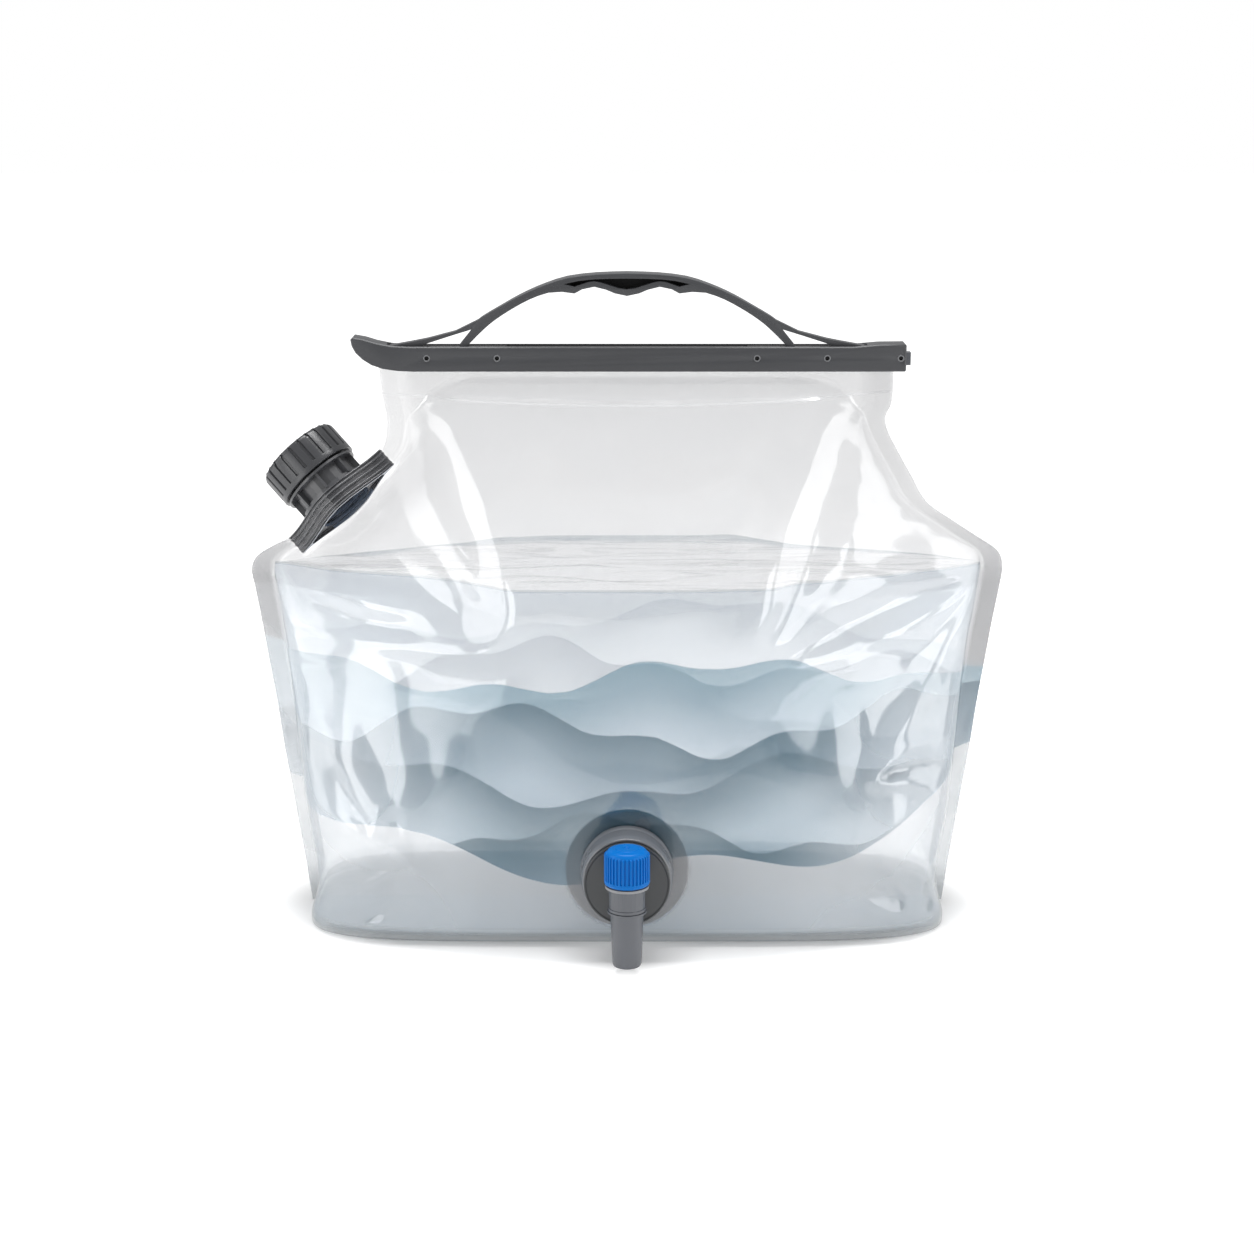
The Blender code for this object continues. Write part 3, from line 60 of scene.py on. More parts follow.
def feed(tree, node, inputs):
    for key, value in inputs.items():
        value = value.socket if isinstance(value, Signal) else value
        if isinstance(value, bpy.types.NodeSocket):
            tree.links.new(value, node.inputs[key])
        else:
            node.inputs[key].default_value = value
    return node


def put(tree, kind, inputs=None, **settings):
    node = tree.nodes.new(kind)
    for key, value in settings.items():
        setattr(node, key, value)
    return feed(tree, node, inputs or {})


class Signal:
    # one value of a shader tree, which takes ordinary arithmetic
    def __init__(self, tree, socket):
        self.tree, self.socket = tree, socket

    def act(self, operation, a, b=0.0, clamp=False):
        node = put(self.tree, "ShaderNodeMath", {0: a, 1: b}, operation=operation, use_clamp=clamp)
        return Signal(self.tree, node.outputs[0])

    __add__ = lambda self, other: self.act("ADD", self, other)
    __sub__ = lambda self, other: self.act("SUBTRACT", self, other)
    __rsub__ = lambda self, other: self.act("SUBTRACT", other, self)
    __mul__ = lambda self, other: self.act("MULTIPLY", self, other)
    __pow__ = lambda self, other: self.act("POWER", self, other)
    __abs__ = lambda self: self.act("ABSOLUTE", self)

    def share(self, reach):  # 0 at nought, 1 from reach on
        return self.act("MULTIPLY", self, 1 / reach, clamp=True)

    def clamped(self):
        return self.act("ADD", self, 0.0, clamp=True)

    def most(self, other):
        return self.act("MAXIMUM", self, other)

    def below(self, other):
        return self.act("LESS_THAN", self, other)

    def sine(self, length, phase=0.0):
        return self.act("SINE", self * (math.tau / length) + phase)

    def mapped(self, low, high, atLow, atHigh, kind="SMOOTHSTEP"):
        node = put(self.tree, "ShaderNodeMapRange", {
            "Value": self, "From Min": low, "From Max": high, "To Min": atLow, "To Max": atHigh},
            interpolation_type=kind)
        return Signal(self.tree, node.outputs["Result"])


def mix(tree, factor, a, b):
    return put(tree, "ShaderNodeMix", {0: factor, 6: a, 7: b}, data_type="RGBA").outputs[2]


def noise(tree, place, scale, detail, more=None):
    node = put(tree, "ShaderNodeTexNoise", {"Vector": place, "Scale": scale, "Detail": detail, **(more or {})})
    return Signal(tree, node.outputs["Fac"])


def attribute(tree, name):
    return Signal(tree, put(tree, "ShaderNodeAttribute", attribute_name=name).outputs["Fac"])


def bumped(tree, height, distance, strength):
    node = put(tree, "ShaderNodeBump", {"Height": height, "Distance": distance, "Strength": strength})
    return node.outputs["Normal"]


def objectPlace(tree):
    return put(tree, "ShaderNodeTexCoord").outputs["Object"]


def axesOf(tree, place):
    return [Signal(tree, axis) for axis in put(tree, "ShaderNodeSeparateXYZ", {0: place}).outputs]


def srgb(red, green, blue):
    # photographic 0-255 values to the linear ones that shaders take
    steps = [v / 255 for v in (red, green, blue)]
    return tuple(s / 12.92 if s <= 0.04045 else ((s + 0.055) / 1.055) ** 2.4 for s in steps) + (1.0,)


def newMaterial(name):
    made = bpy.data.materials.new(name)
    made.use_nodes = True
    return made, made.node_tree, made.node_tree.nodes["Principled BSDF"]


# Stage: white floor and world, a tall softbox at each side, a lower one towards the front, a wide one overhead
stage = {
    "worldLight": 0.32, "mirrorLight": 0.55,
    "floorSize": 14, "floorDrop": 0.0003, "floorWhite": 0.86,
    "floorLift": (0.06, 0.95),  # beside the object, and well out from it
    "floorOval": (0.190, 0.102), "floorReach": (0.97, 1.32),
    "boxes": [
        # name, azimuth left of front, height above the horizon, distance, width, height, watts
        ("leftBox", 80.0, 11.0, 1.05, 0.42, 0.78, 1.95),
        ("leftGlow", 46.0, 6.0, 1.05, 0.44, 0.56, 1.9),
        ("rightBox", -80.0, 11.0, 1.05, 0.42, 0.78, 1.85),
        ("rightGlow", -46.0, 6.0, 1.05, 0.44, 0.56, 1.9),
        ("topBox", 0.0, 89.0, 1.60, 1.30, 0.44, 24.0),
    ],
    "aim": (0.0, 0.0, 0.20),
}


def lightPaths(tree):
    # what the camera sees directly or through the film, and what is mirrored
    paths = put(tree, "ShaderNodeLightPath").outputs
    straight = Signal(tree, paths["Is Camera Ray"]).most(paths["Is Transmission Ray"])
    return straight, Signal(tree, paths["Is Glossy Ray"]) * stage["mirrorLight"]


def makeStage():
    world = bpy.data.worlds.new("studio")
    bpy.context.scene.world = world
    world.use_nodes = True
    tree, low = world.node_tree, stage["worldLight"]
    straight, mirrored = lightPaths(tree)
    strength = (straight * (1.0 - low) + low).most(mirrored)
    feed(tree, tree.nodes["Background"], {"Color": (1, 1, 1, 1), "Strength": strength})

    bpy.ops.mesh.primitive_plane_add(size=stage["floorSize"], location=(0, 0, -stage["floorDrop"]))
    floor = bpy.context.object
    floor.name = "floor"
    made, tree, shader = newMaterial("paper sweep")
    straight, mirrored = lightPaths(tree)
    oval = tuple(1 / half for half in stage["floorOval"]) + (1,)
    place = put(tree, "ShaderNodeVectorMath", {0: objectPlace(tree), 1: oval}, operation="MULTIPLY").outputs[0]
    reach = Signal(tree, put(tree, "ShaderNodeVectorMath", {0: place}, operation="LENGTH").outputs["Value"])
    lift = straight.most(mirrored) * reach.mapped(*stage["floorReach"], *stage["floorLift"])
    feed(tree, shader, {
        "Base Color": (stage["floorWhite"],) * 3 + (1,), "Roughness": 0.9, "Specular IOR Level": 0.0,
        "Emission Color": (1, 1, 1, 1), "Emission Strength": lift})
    floor.data.materials.append(made)

    for name, azimuth, lift, distance, width, height, watts in stage["boxes"]:
        lamp = bpy.data.lights.new(name, "AREA")
        lamp.shape = "RECTANGLE"
        lamp.size, lamp.size_y, lamp.energy = width, height, watts
        turn, rise = math.radians(azimuth), math.radians(lift)
        way = Vector((-math.sin(turn) * math.cos(rise), -math.cos(turn) * math.cos(rise), math.sin(rise)))
        box = bpy.data.objects.new(name, lamp)
        box.location = Vector(stage["aim"]) + way * distance
        box.rotation_euler = (-way).to_track_quat("-Z", "Y").to_euler()
        bpy.context.scene.collection.objects.link(box)


makeStage()
print("stage ready")

# Moulded plastics: slight colour drift, uneven gloss and a fine spark-eroded grain
plastics = {
    # tone, roughness, shine, depth of the grain, colour drift
    "satinGrey": ((67, 68, 71), 0.40, 0.45, 0.00004, 0.08),
    "capGrey": ((58, 59, 62), 0.30, 0.60, 0.00003, 0.08),
    # painted shade: the near-black copy of the grip's plastic for the floors of its pockets
    "pocketPaintedShade": ((16, 16, 17), 0.70, 0.20, 0.00004, 0.08),
    "nutGrey": ((58, 60, 62), 0.30, 0.55, 0.00002, 0.06),
    "neckGrey": ((68, 69, 72), 0.30, 0.70, 0.00003, 0.08),
    "ridgeGrey": ((104, 105, 108), 0.26, 0.80, 0.00001, 0.05),
    # painted highlight: the rims are the bar's plastic, made lighter to stand for the light they catch
    "rimPaintedHighlight": ((122, 123, 126), 0.32, 0.50, 0.00002, 0.05),
    "ringGrey": ((112, 114, 119), 0.20, 0.90, 0.00001, 0.05),
    # painted highlight and shade: pale and bluish copies of the filler neck's grey for its underside and its bore
    "undersidePaintedSheen": ((210, 215, 224), 0.30, 0.60, 0.00002, 0.05),
    "borePaintedShade": ((112, 124, 142), 0.35, 0.50, 0.00002, 0.05),
    # painted shade: the steel pins' ends are made near-black, standing in for the shade of the holes they sit in
    "pinPaintedShade": ((20, 20, 22), 0.55, 0.30, 0.00002, 0.05),
    "paleGrey": ((82, 85, 92), 0.24, 0.80, 0.00002, 0.06),
    "lightGrey": ((150, 151, 153), 0.30, 0.50, 0.00002, 0.05),
    "tapBlue": ((0, 113, 201), 0.32, 0.18, 0.00002, 0.05),
    "sealRubber": ((176, 178, 180), 0.60, 0.40, 0.00003, 0.05),
}
grain = {"cloud": (38.0, 4.0), "fine": (1800.0, 2.0), "roughSpread": 0.14, "strength": 0.6}


def plastic(name):
    tone, rough, shine, depth, drift = plastics[name]
    made, tree, shader = newMaterial(name)
    place = objectPlace(tree)
    cloud = noise(tree, place, *grain["cloud"])
    low, high = (tuple(min(c * share, 1) for c in srgb(*tone)[:3]) + (1,) for share in (1 - drift, 1 + drift))
    feed(tree, shader, {
        "Base Color": mix(tree, cloud, low, high), "Specular IOR Level": shine,
        "Roughness": cloud * grain["roughSpread"] + (rough - grain["roughSpread"] / 2),
        "Normal": bumped(tree, noise(tree, place, *grain["fine"]), depth, grain["strength"])})
    return made


finish = {name: plastic(name) for name in plastics}

# Pouch shape, in metres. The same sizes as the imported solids, with the film's own folds on top
pouch = {
    "top": 0.3302, "foot": 0.0004, "halfWidth": 0.2225, "cadTop": 0.3306,  # shares of height are taken of cadTop
    "finWidth": 0.012, "finFootWidth": 0.0025, "finFootHeight": 0.030,
    "baseHalfDepth": 0.0725, "wallSwell": 0.0070, "bellySwell": 0.0025,
    "square": 4.8, "squareLess": 2.75, "lean": 0.30,
    # where each of these starts and over what length it comes; the belly's in shares of height
    "wallRise": (0.0025, 0.0075), "bellyRise": (0.27, 0.18), "squareRise": (0.045, 0.130),
    "leanAcross": (0.050, 0.080), "leanUp": (0.050, 0.17),
    "mouthBand": 0.0066, "topSlope": 0.705, "facetSlope": 0.70, "softness": 0.010,
    "film": 0.00035, "columns": 236, "finColumns": 5, "rows": 172,
    "leftSide": ((0.000, 0.866), (0.280, 0.925), (0.500, 0.972), (0.600, 0.994), (0.632, 1.000),
                 (0.655, 0.984), (0.675, 0.935), (0.695, 0.872), (0.828, 0.6685), (0.848, 0.645),
                 (0.872, 0.634), (0.905, 0.632), (0.945, 0.643), (1.000, 0.651)),
    "rightSide": ((0.000, 0.866), (0.280, 0.925), (0.500, 0.972), (0.600, 0.995), (0.640, 1.000),
                  (0.665, 0.985), (0.690, 0.930), (0.715, 0.872), (0.750, 0.798), (0.800, 0.752),
                  (0.845, 0.714), (0.880, 0.687), (0.905, 0.680), (0.930, 0.695), (1.000, 0.698)),
    "leftFacet": ((0.640, 0.935), (0.895, 0.590)),
    "rightFacet": ((0.668, 0.940), (0.905, 0.635)),
}
fitment = {
    "length": 0.076, "halfThickness": 0.0205, "tip": 0.0011, "below": 0.0075, "rib": 0.0007,
    "clearance": 0.0010, "lens": 0.0030, "lap": 0.003, "fade": 0.040, "tipFade": 0.014, "tilt": math.radians(17.0),
    "line": ((0.695, 0.872), (0.828, 0.6685)),
}


def easeStep(value):
    value = np.clip(value, 0.0, 1.0)
    return value * value * (3 - 2 * value)


def rise(value, start, over):
    return easeStep((value - start) / over)


def fall(value, start, over):
    return 1 - rise(value, start, over)


def spaced(count, even):
    # -1 to 1, closer together towards both ends
    t = np.linspace(-1, 1, count)
    return even * t + (1 - even) * np.sin(np.pi / 2 * t)


def curveAt(points, at):
    # smooth curve through (position, value) pairs
    p = np.array([q[0] for q in points], float)
    v = np.array([q[1] for q in points], float)
    at = np.clip(np.asarray(at, float), p[0], p[-1])
    i = np.clip(np.searchsorted(p, at, side="right") - 1, 0, len(p) - 2)
    before, after = np.maximum(i - 1, 0), np.minimum(i + 2, len(p) - 1)
    span = p[i + 1] - p[i]
    slopeA = (v[i + 1] - v[before]) / (p[i + 1] - p[before])
    slopeB = (v[after] - v[i]) / (p[after] - p[i])
    t = (at - p[i]) / span
    return ((2 * t**3 - 3 * t**2 + 1) * v[i] + (t**3 - 2 * t**2 + t) * span * slopeA
            + (3 * t**2 - 2 * t**3) * v[i + 1] + (t**3 - t**2) * span * slopeB)


def leftSide(z):
    return -pouch["halfWidth"] * curveAt(pouch["leftSide"], z / pouch["cadTop"])


def rightSide(z):
    return pouch["halfWidth"] * curveAt(pouch["rightSide"], z / pouch["cadTop"])


def finWidth(z):
    foot = pouch["finFootWidth"]
    return foot + (pouch["finWidth"] - foot) * easeStep(z / pouch["finFootHeight"])


def sharePoint(height, width):
    return np.array((pouch["halfWidth"] * width, pouch["cadTop"] * height))


def fitmentLine():
    low, high = (sharePoint(h, -w) for h, w in fitment["line"])
    along = (high - low) / np.linalg.norm(high - low)
    outward = np.array((-along[1], along[0]))
    return (low + high) / 2 - outward * fitment["lap"], along, outward


def fitmentPlace(x, z):
    # how far along the filler's welded body a point is, and how far out of it
    middle, along, outward = fitmentLine()
    return ((x - middle[0]) * along[0] + (z - middle[1]) * along[1],
            (x - middle[0]) * outward[0] + (z - middle[1]) * outward[1])


def bell(share):
    return np.cos(np.pi / 2 * np.minimum(np.abs(share), 1.0)) ** 2


def fitmentThickness(share):
    return fitment["tip"] + (fitment["halfThickness"] - fitment["tip"]) * bell(share)


def filmLeft(z, side):
    # the left seam's inner side swings round the tilted filler
    x = leftSide(z)
    share = fitmentPlace(x, z)[0] / (fitment["length"] / 2)
    reach = (fitmentThickness(share) - fitment["tip"]) * math.sin(fitment["tilt"])
    return np.where(np.abs(share) < 1, x + side * reach / abs(fitmentLine()[2][0]), x)


def innerEdges(z, side):
    return filmLeft(z, side) + finWidth(z), rightSide(z) - finWidth(z)


def fitmentCover(x, z, side):
    # how deep the film lies to cover the filler's welded body
    along, out = fitmentPlace(x, z)
    half = fitment["length"] / 2
    share = along / half
    pastTip = np.maximum(np.abs(share) - 1, 0) * half
    tipFade = 1 - easeStep(pastTip / fitment["tipFade"])
    body = fitmentThickness(share) + fitment["rib"] + fitment["clearance"]
    thick = body / math.cos(fitment["tilt"]) + pouch["film"]
    inside = np.maximum(-out - fitment["below"] - fitment["rib"], 0)
    fade = (1 - easeStep(inside / fitment["fade"])) ** 1.5
    lean = side * np.maximum(out, -fitment["below"]) * math.tan(fitment["tilt"])
    return (thick + lean * np.minimum(thick / fitment["halfThickness"], 1)) * tipFade * fade


def facetDepth(x, z, shares, sign):
    low, high = (sharePoint(h, sign * w) for h, w in shares)
    along = (high - low) / np.linalg.norm(high - low)
    inward = np.array((along[1], -along[0])) * -sign
    return pouch["facetSlope"] * ((x - low[0]) * inward[0] + (z - low[1]) * inward[1])


def softLeast(least, *values):
    softness = pouch["softness"]
    for value in values:
        h = np.maximum(softness - np.abs(least - value), 0) / softness
        least = np.minimum(least, value) - h * h * softness / 4
    return least


def wallDepth(x, z, side):
    # the filled pouch before its folds: squared below, rounder above, sloping to the mouth
    left, right = innerEdges(z, side)
    deepest = pouch["baseHalfDepth"] + pouch["wallSwell"] * rise(z, *pouch["wallRise"])
    deepest = deepest + pouch["bellySwell"] * rise(z / pouch["cadTop"], *pouch["bellyRise"])
    square = pouch["square"] - pouch["squareLess"] * rise(z, *pouch["squareRise"])
    across = np.minimum(np.abs((x - (left + right) / 2) / ((right - left) / 2)), 1.0)
    wall = deepest * np.maximum(1 - across**square, 0) ** (1 / square)
    wall = wall * (1 - pouch["lean"] * rise(np.abs(x), *pouch["leanAcross"]) * rise(z, *pouch["leanUp"]))
    top = np.maximum(pouch["cadTop"] - pouch["mouthBand"] - z, 0) * pouch["topSlope"]
    facets = facetDepth(x, z, pouch["leftFacet"], -1), facetDepth(x, z, pouch["rightFacet"], 1)
    depth = np.maximum(softLeast(wall, top, *facets), 0)
    return np.where((x > left) & (x < right), depth, 0.0)


# Folds of the film: (x, z, height) in millimetres along each line, ridges above 0 and hollows below
foldsRound = {"reach": 0.022, "blur": 24, "rounds": 900, "lines": [
    # left: crest from the mouth's corner to the dimple, its outer foot and the hollow behind it
    [(-128.6, 322.1, 0), (-118.4, 312.3, 2.5), (-105.1, 300.4, 4.4), (-94.2, 286.5, 5), (-80.5, 259.0, 6.2),
     (-70.9, 228.2, 6.9), (-66.8, 211.0, 6.9), (-66.2, 196.5, 6.9), (-68.8, 184.9, 6.2), (-76.6, 176.7, 5)],
    [(-100, 312, 0.5), (-88, 297, 0.8), (-76, 280, 0.8), (-64, 258, 0.8), (-54, 228, 0.8), (-49, 205, 0.8),
     (-51, 186, 0.6), (-64, 166, 0.4)],
    [(-124, 316, -0.7), (-113, 299, -1.1), (-104, 284, -1.4), (-96, 262, -1.4), (-89, 243, -1.4), (-84, 226, -2.1),
     (-81, 208, -2.1), (-79, 194, -0.7), (-78, 184, 2.8)],
    # left: second crest and the hollow beyond it
    [(-128, 320, 0), (-121, 308, 1.2), (-120, 296, 1.8), (-120, 284, 2.4), (-121, 276, 3), (-118, 262, 3.6),
     (-111, 249, 3.6), (-102, 236, 3.6), (-94, 226, 3), (-88.5, 215, 1.8), (-84, 204, 0.6)],
    [(-137, 276, -1.7), (-133, 262, -1.7), (-125, 245, -2.2), (-115, 232, -2.8), (-105, 222, -3.9),
     (-97, 212, -5), (-91, 203, -5.5), (-86, 193, -3.3)],
    # right: crest from the mouth's corner to the dimple, its outer foot and the hollow behind it
    [(137.8, 321.2, 0), (114.3, 310.8, 3.6), (112.0, 299.9, 4.8), (107.7, 288.5, 6), (100.3, 271.2, 6.6),
     (91.6, 251.9, 7.2), (86.5, 237.4, 7.2), (82.8, 218.9, 7.2), (80.3, 199.9, 7.2), (76.8, 184.5, 6),
     (75.4, 173.1, 4.8)],
    [(98, 308, 0.5), (94, 288, 0.8), (86, 268, 0.8), (75, 248, 0.8), (69, 226, 0.8), (65, 200, 0.8),
     (61, 180, 0.6), (66, 162, 0.4)],
    [(128, 306, 1.2), (124, 290, 0), (119, 270, -1.2), (112.6, 251.8, -2.4), (106.6, 232.2, -3),
     (100.7, 216.5, -3), (94.8, 201.0, -3), (88.2, 188.9, -1.8), (81, 179, 1.2)],
    # right: second crest, which turns at the dimple and runs on to the shoulder
    [(133, 299, 2), (135.4, 277.8, 3), (133.7, 263.8, 3.5), (130.4, 246.3, 3.5), (126.2, 230.2, 3.5),
     (117.5, 217.1, 3), (105.7, 202.8, 3), (93.2, 188.5, 3), (79, 174.5, 4)],
    [(150, 285, -0.5), (158, 262, -1), (156, 245, -1.5), (150, 230, -2), (138, 216, -1.5), (122, 204, -1),
     (105, 190, 0.5)],
]}
foldsFan = {"reach": 0.022, "blur": 3, "rounds": 900, "lines": [
    [(-94, 191, -2.5), (-107, 200, -3.5), (-122, 208, -3.5), (-135, 219, -2.5), (-150, 230, -1.5)],
    # left: the fan from the shoulder
    [(-203, 206.7, 0), (-186.7, 213.5, 1.5), (-171.4, 214.5, 2.4), (-157.5, 212.5, 1.9), (-146, 210.5, 0),
     (-136, 207.5, -2.4)],
    [(-207.6, 204.1, 0), (-182.2, 201.5, 3.1), (-157.2, 198.4, 3.7), (-138.0, 195.9, 2.5), (-122, 193, 0.8)],
    [(-200, 198, -0.5), (-182.0, 191.3, -1), (-163.8, 186.2, -1.4), (-146.0, 184.6, -0.5), (-126, 184, 0)],
    [(-206.0, 192, 0), (-190.1, 181, 1.7), (-156.7, 174.9, 2.7), (-126.8, 173.4, 3.4), (-100.3, 173.0, 3.7),
     (-84, 175.0, 3.4)],
    [(-196, 158, 0.2), (-160, 148, 0.2), (-120, 146, 0.2), (-84, 153, 0.2), (-64, 166, 0.2)],
    [(212, 212.1, 0), (194.2, 208.4, 1.7), (172.0, 208.5, 2.5), (150.2, 207.3, 3.4), (128.5, 199.8, 3.7),
     (107.3, 188.4, 4.2), (92, 178.8, 4.2)],
    # right: the fan below it
    [(204.5, 204.7, -0.3), (178.8, 199.5, -1.7), (148.6, 192.9, -2.5), (118.1, 181.6, -1.7), (98.5, 172.6, -0.3)],
    [(210.1, 205.8, 0), (193.7, 194.3, 2.4), (171.4, 185.3, 3.2), (149.4, 177.7, 3.7), (129.4, 171.3, 3.2),
     (107.1, 166.9, 2.9), (84, 164, 1.4)],
    [(204, 199, -0.3), (193, 187, -1), (178, 172, -1.4), (160, 158, -0.7), (130, 150, 0), (95, 148, 0.2),
     (66, 162, 0.3)],
    [(205, 196, 0), (184, 163, 1.8), (165, 132, 2.4), (150, 110, 2.2), (141.4, 96.5, 1.4)],
    [(170, 160, -0.4), (150, 135, -1.2), (138, 115, -1.0)],
    [(198, 172, -0.3), (182, 140, -1.4), (168, 118, -0.8)],
    [(-204, 176, 0), (-186, 140, 1.2), (-166, 108, 1.8), (-147, 86, 1.6), (-140, 70, 1.0)],
    [(-160, 132, -0.4), (-146, 112, -1.0), (-134, 96, -0.6)],
    [(209.5, 199.8, 0), (203, 190.4, 0.8), (195, 178, 1.2), (188, 160, 1.2), (182, 140.0, 0.5)],
]}
foldsFine = {"reach": 0.0055, "blur": 1, "rounds": 120, "lines": [
    [(114.9, 307.6, 1.2), (123.4, 302.5, 1.5), (133.3, 301.3, 0.5)],
    # lower left crumple
    [(-183.3, 82.7, 1.5), (-166.2, 73.8, 2.4), (-147.1, 64.3, 3), (-125.5, 53.6, 2.7), (-121.1, 44.4, 0.8)],
    [(-147.1, 64.3, 3), (-140.7, 86.0, 1.2), (-133.0, 74.6, -1.2), (-125.5, 53.6, 2.2)],
    [(-175.2, 19.1, 2.2), (-149.0, 36.3, 2.7), (-125.6, 50.5, 2.2)],
    [(-169.4, 3.8, 1.5), (-146.2, 16.2, -2.1), (-136.7, 31.0, -2.1), (-127.1, 47.3, 0.8)],
    [(-191, 41.4, 1.2), (-179.8, 62.5, 3), (-180.5, 77.0, 1.8), (-186, 95.5, 1.2), (-190, 125, 0.8)],
    [(-178.1, 61.7, 3), (-174.9, 40.9, -1.8), (-176.1, 18.8, 2.2), (-180, 8, 1.2)],
    [(-172, 110, 0.6), (-166, 92, -1.5), (-158, 80, -1.5), (-150, 68, 0.8)],
    # lower right crumple
    [(137.9, 141.0, 0.6), (141.9, 113.5, 2.4), (141.4, 96.5, 3)],
    [(141.4, 98.0, 3), (163.2, 115.4, 2.4), (188.6, 118.8, 0.9)],
    [(141.4, 96.5, 3), (162.0, 96.9, 1.8), (177.0, 90.9, 2.1), (193, 69.8, 3.3)],
    [(193, 69.8, 3.3), (186.7, 66.0, 3), (183.1, 49.6, 2.7), (174.4, 38.2, 2.7), (170.4, 10.5, 3)],
    [(155, 104, -1.5), (150, 100, -2.1), (172, 104, -1.8), (184, 98, -0.9)],
    [(146.4, 52.1, 1.2), (159.4, 35.0, 2.7), (163.8, 22.0, 2.7), (169.6, 9.3, 3)],
    [(169.6, 9.3, 2.4), (132.9, 28.1, 1.4), (89.7, 54.7, 0.4)],
    [(128.0, 41.0, 0.6), (148.3, 34.4, -1.5), (161.1, 25.3, -1.8)],
    [(187, 52, -0.9), (180, 34, -2.4), (177, 18, -2.1)],
    # faint creases in the top panel
    [(-15.7, 306.8, 0.5), (-8.6, 284.2, 0.6), (7.4, 262.5, 0.3)],
    [(23.8, 306.2, 0.5), (16.1, 289.4, 0.6), (7.4, 262.5, 0.3)],
    [(48, 306, 0.5), (36, 280, 0.6), (16, 250, 0.2)],
]}
hem = {"line": ((-0.150, 0.3110), (-0.100, 0.3103), (0.0, 0.3075), (0.108, 0.3097), (0.160, 0.3105)),
       "width": 0.0016, "height": 0.0007}
relief = {"cell": 0.0015, "width": 0.46, "height": 0.34}
waves = {
    # stretch across and up, how many, shortest, longest, seeds for the front and the back
    "film": (1, 1, 24, 0.03, 0.11, 7, 8),
    "upright": (1, 0.45, 18, 0.018, 0.046, 13, 14),
    "level": (0.35, 1, 18, 0.012, 0.030, 15, 16),
    "pucker": (0.25, 1, 10, 0.008, 0.020, 5, 6),
    "water": (0.28, 1, 14, 0.012, 0.05, 3),
}


def reliefMap(folds):
    # heights held along the fold lines, and stretched film between them
    cell, half = relief["cell"], relief["width"] / 2
    columns, rows = int(relief["width"] / cell), int(relief["height"] / cell)
    held = np.zeros((rows, columns), bool)
    target = np.zeros((rows, columns), np.float32)
    for line in folds["lines"]:
        for (xa, za, ha), (xb, zb, hb) in zip(line, line[1:]):
            count = max(int(math.hypot(xb - xa, zb - za) / 0.5), 1)
            for t in np.linspace(0, 1, count + 1):
                column = int(((xa + (xb - xa) * t) / 1000 + half) / cell)
                row = int(((za + (zb - za) * t) / 1000) / cell)
                held[row, column] = True
                target[row, column] = (ha + (hb - ha) * t) / 1000
    share = 1 / (4 + (cell / folds["reach"]) ** 2)
    heights = target.copy()
    for _ in range(folds["rounds"]):
        spread = np.zeros_like(heights)
        spread[1:-1, 1:-1] = (heights[:-2, 1:-1] + heights[2:, 1:-1] + heights[1:-1, :-2] + heights[1:-1, 2:]) * share
        heights = np.where(held, target, spread)
    for _ in range(folds["blur"]):
        for axis in (0, 1):
            heights = (np.roll(heights, 1, axis) + 2 * heights + np.roll(heights, -1, axis)) / 4
    return heights


def readMap(heights, x, z):
    u = (x + relief["width"] / 2) / relief["cell"] - 0.5
    v = np.maximum(z / relief["cell"] - 0.5, 0)
    i, j = u.astype(int), v.astype(int)
    fu, fv = u - i, v - j
    return (heights[j, i] * (1 - fu) * (1 - fv) + heights[j, i + 1] * fu * (1 - fv)
            + heights[j + 1, i] * (1 - fu) * fv + heights[j + 1, i + 1] * fu * fv)


def ripple(x, z, kind, side=-1):
    # gentle unevenness: a few dozen seeded waves
    wide, tall, count, shortest, longest, *seeds = waves[kind]
    x, z = x * wide, z * tall
    chance = np.random.default_rng(seeds[side > 0])
    total = np.zeros_like(x)
    for _ in range(count):
        wave = chance.uniform(shortest, longest)
        turn = chance.uniform(0, math.tau)
        total += np.sin(math.tau * (x * math.cos(turn) + z * math.sin(turn)) / wave + chance.uniform(0, math.tau))
    return total / math.sqrt(count)


foldMaps = [reliefMap(folds) for folds in (foldsRound, foldsFan, foldsFine)]
print("folds relaxed")


# The film's small shapes; pairs say where a thing starts and over what length it comes or goes
small = {
    "roomDepth": 0.018, "roomTop": (0.006, 0.02), "roomFoot": (0.006, 0.012), "drift": 0.0006, "least": 0.00025,
    "slack": 0.0005, "slackAcross": (0.085, 0.050), "slackLevel": (0.13, 0.03),
    "pucker": 0.0005, "puckerFade": 0.010, "puckerStart": 0.004,
    "wave": 0.0012, "waveOut": 0.010, "waveTop": (0.26, 0.05), "waveFoot": (0.01, 0.04), "waveRuns": (0.021, 0.009),
    "nearTip": (-0.0025, 0.003), "onBody": (0.001, 0.002), "lensFade": 0.003, "lensShare": 0.45,
    "besideDown": (0.014, 0.020), "besideTip": (0.012, 0.020), "weldFade": 0.011, "weldShare": 0.8,
    "ringFade": 0.0022, "ringShare": 0.66, "calmShare": 0.9,
}


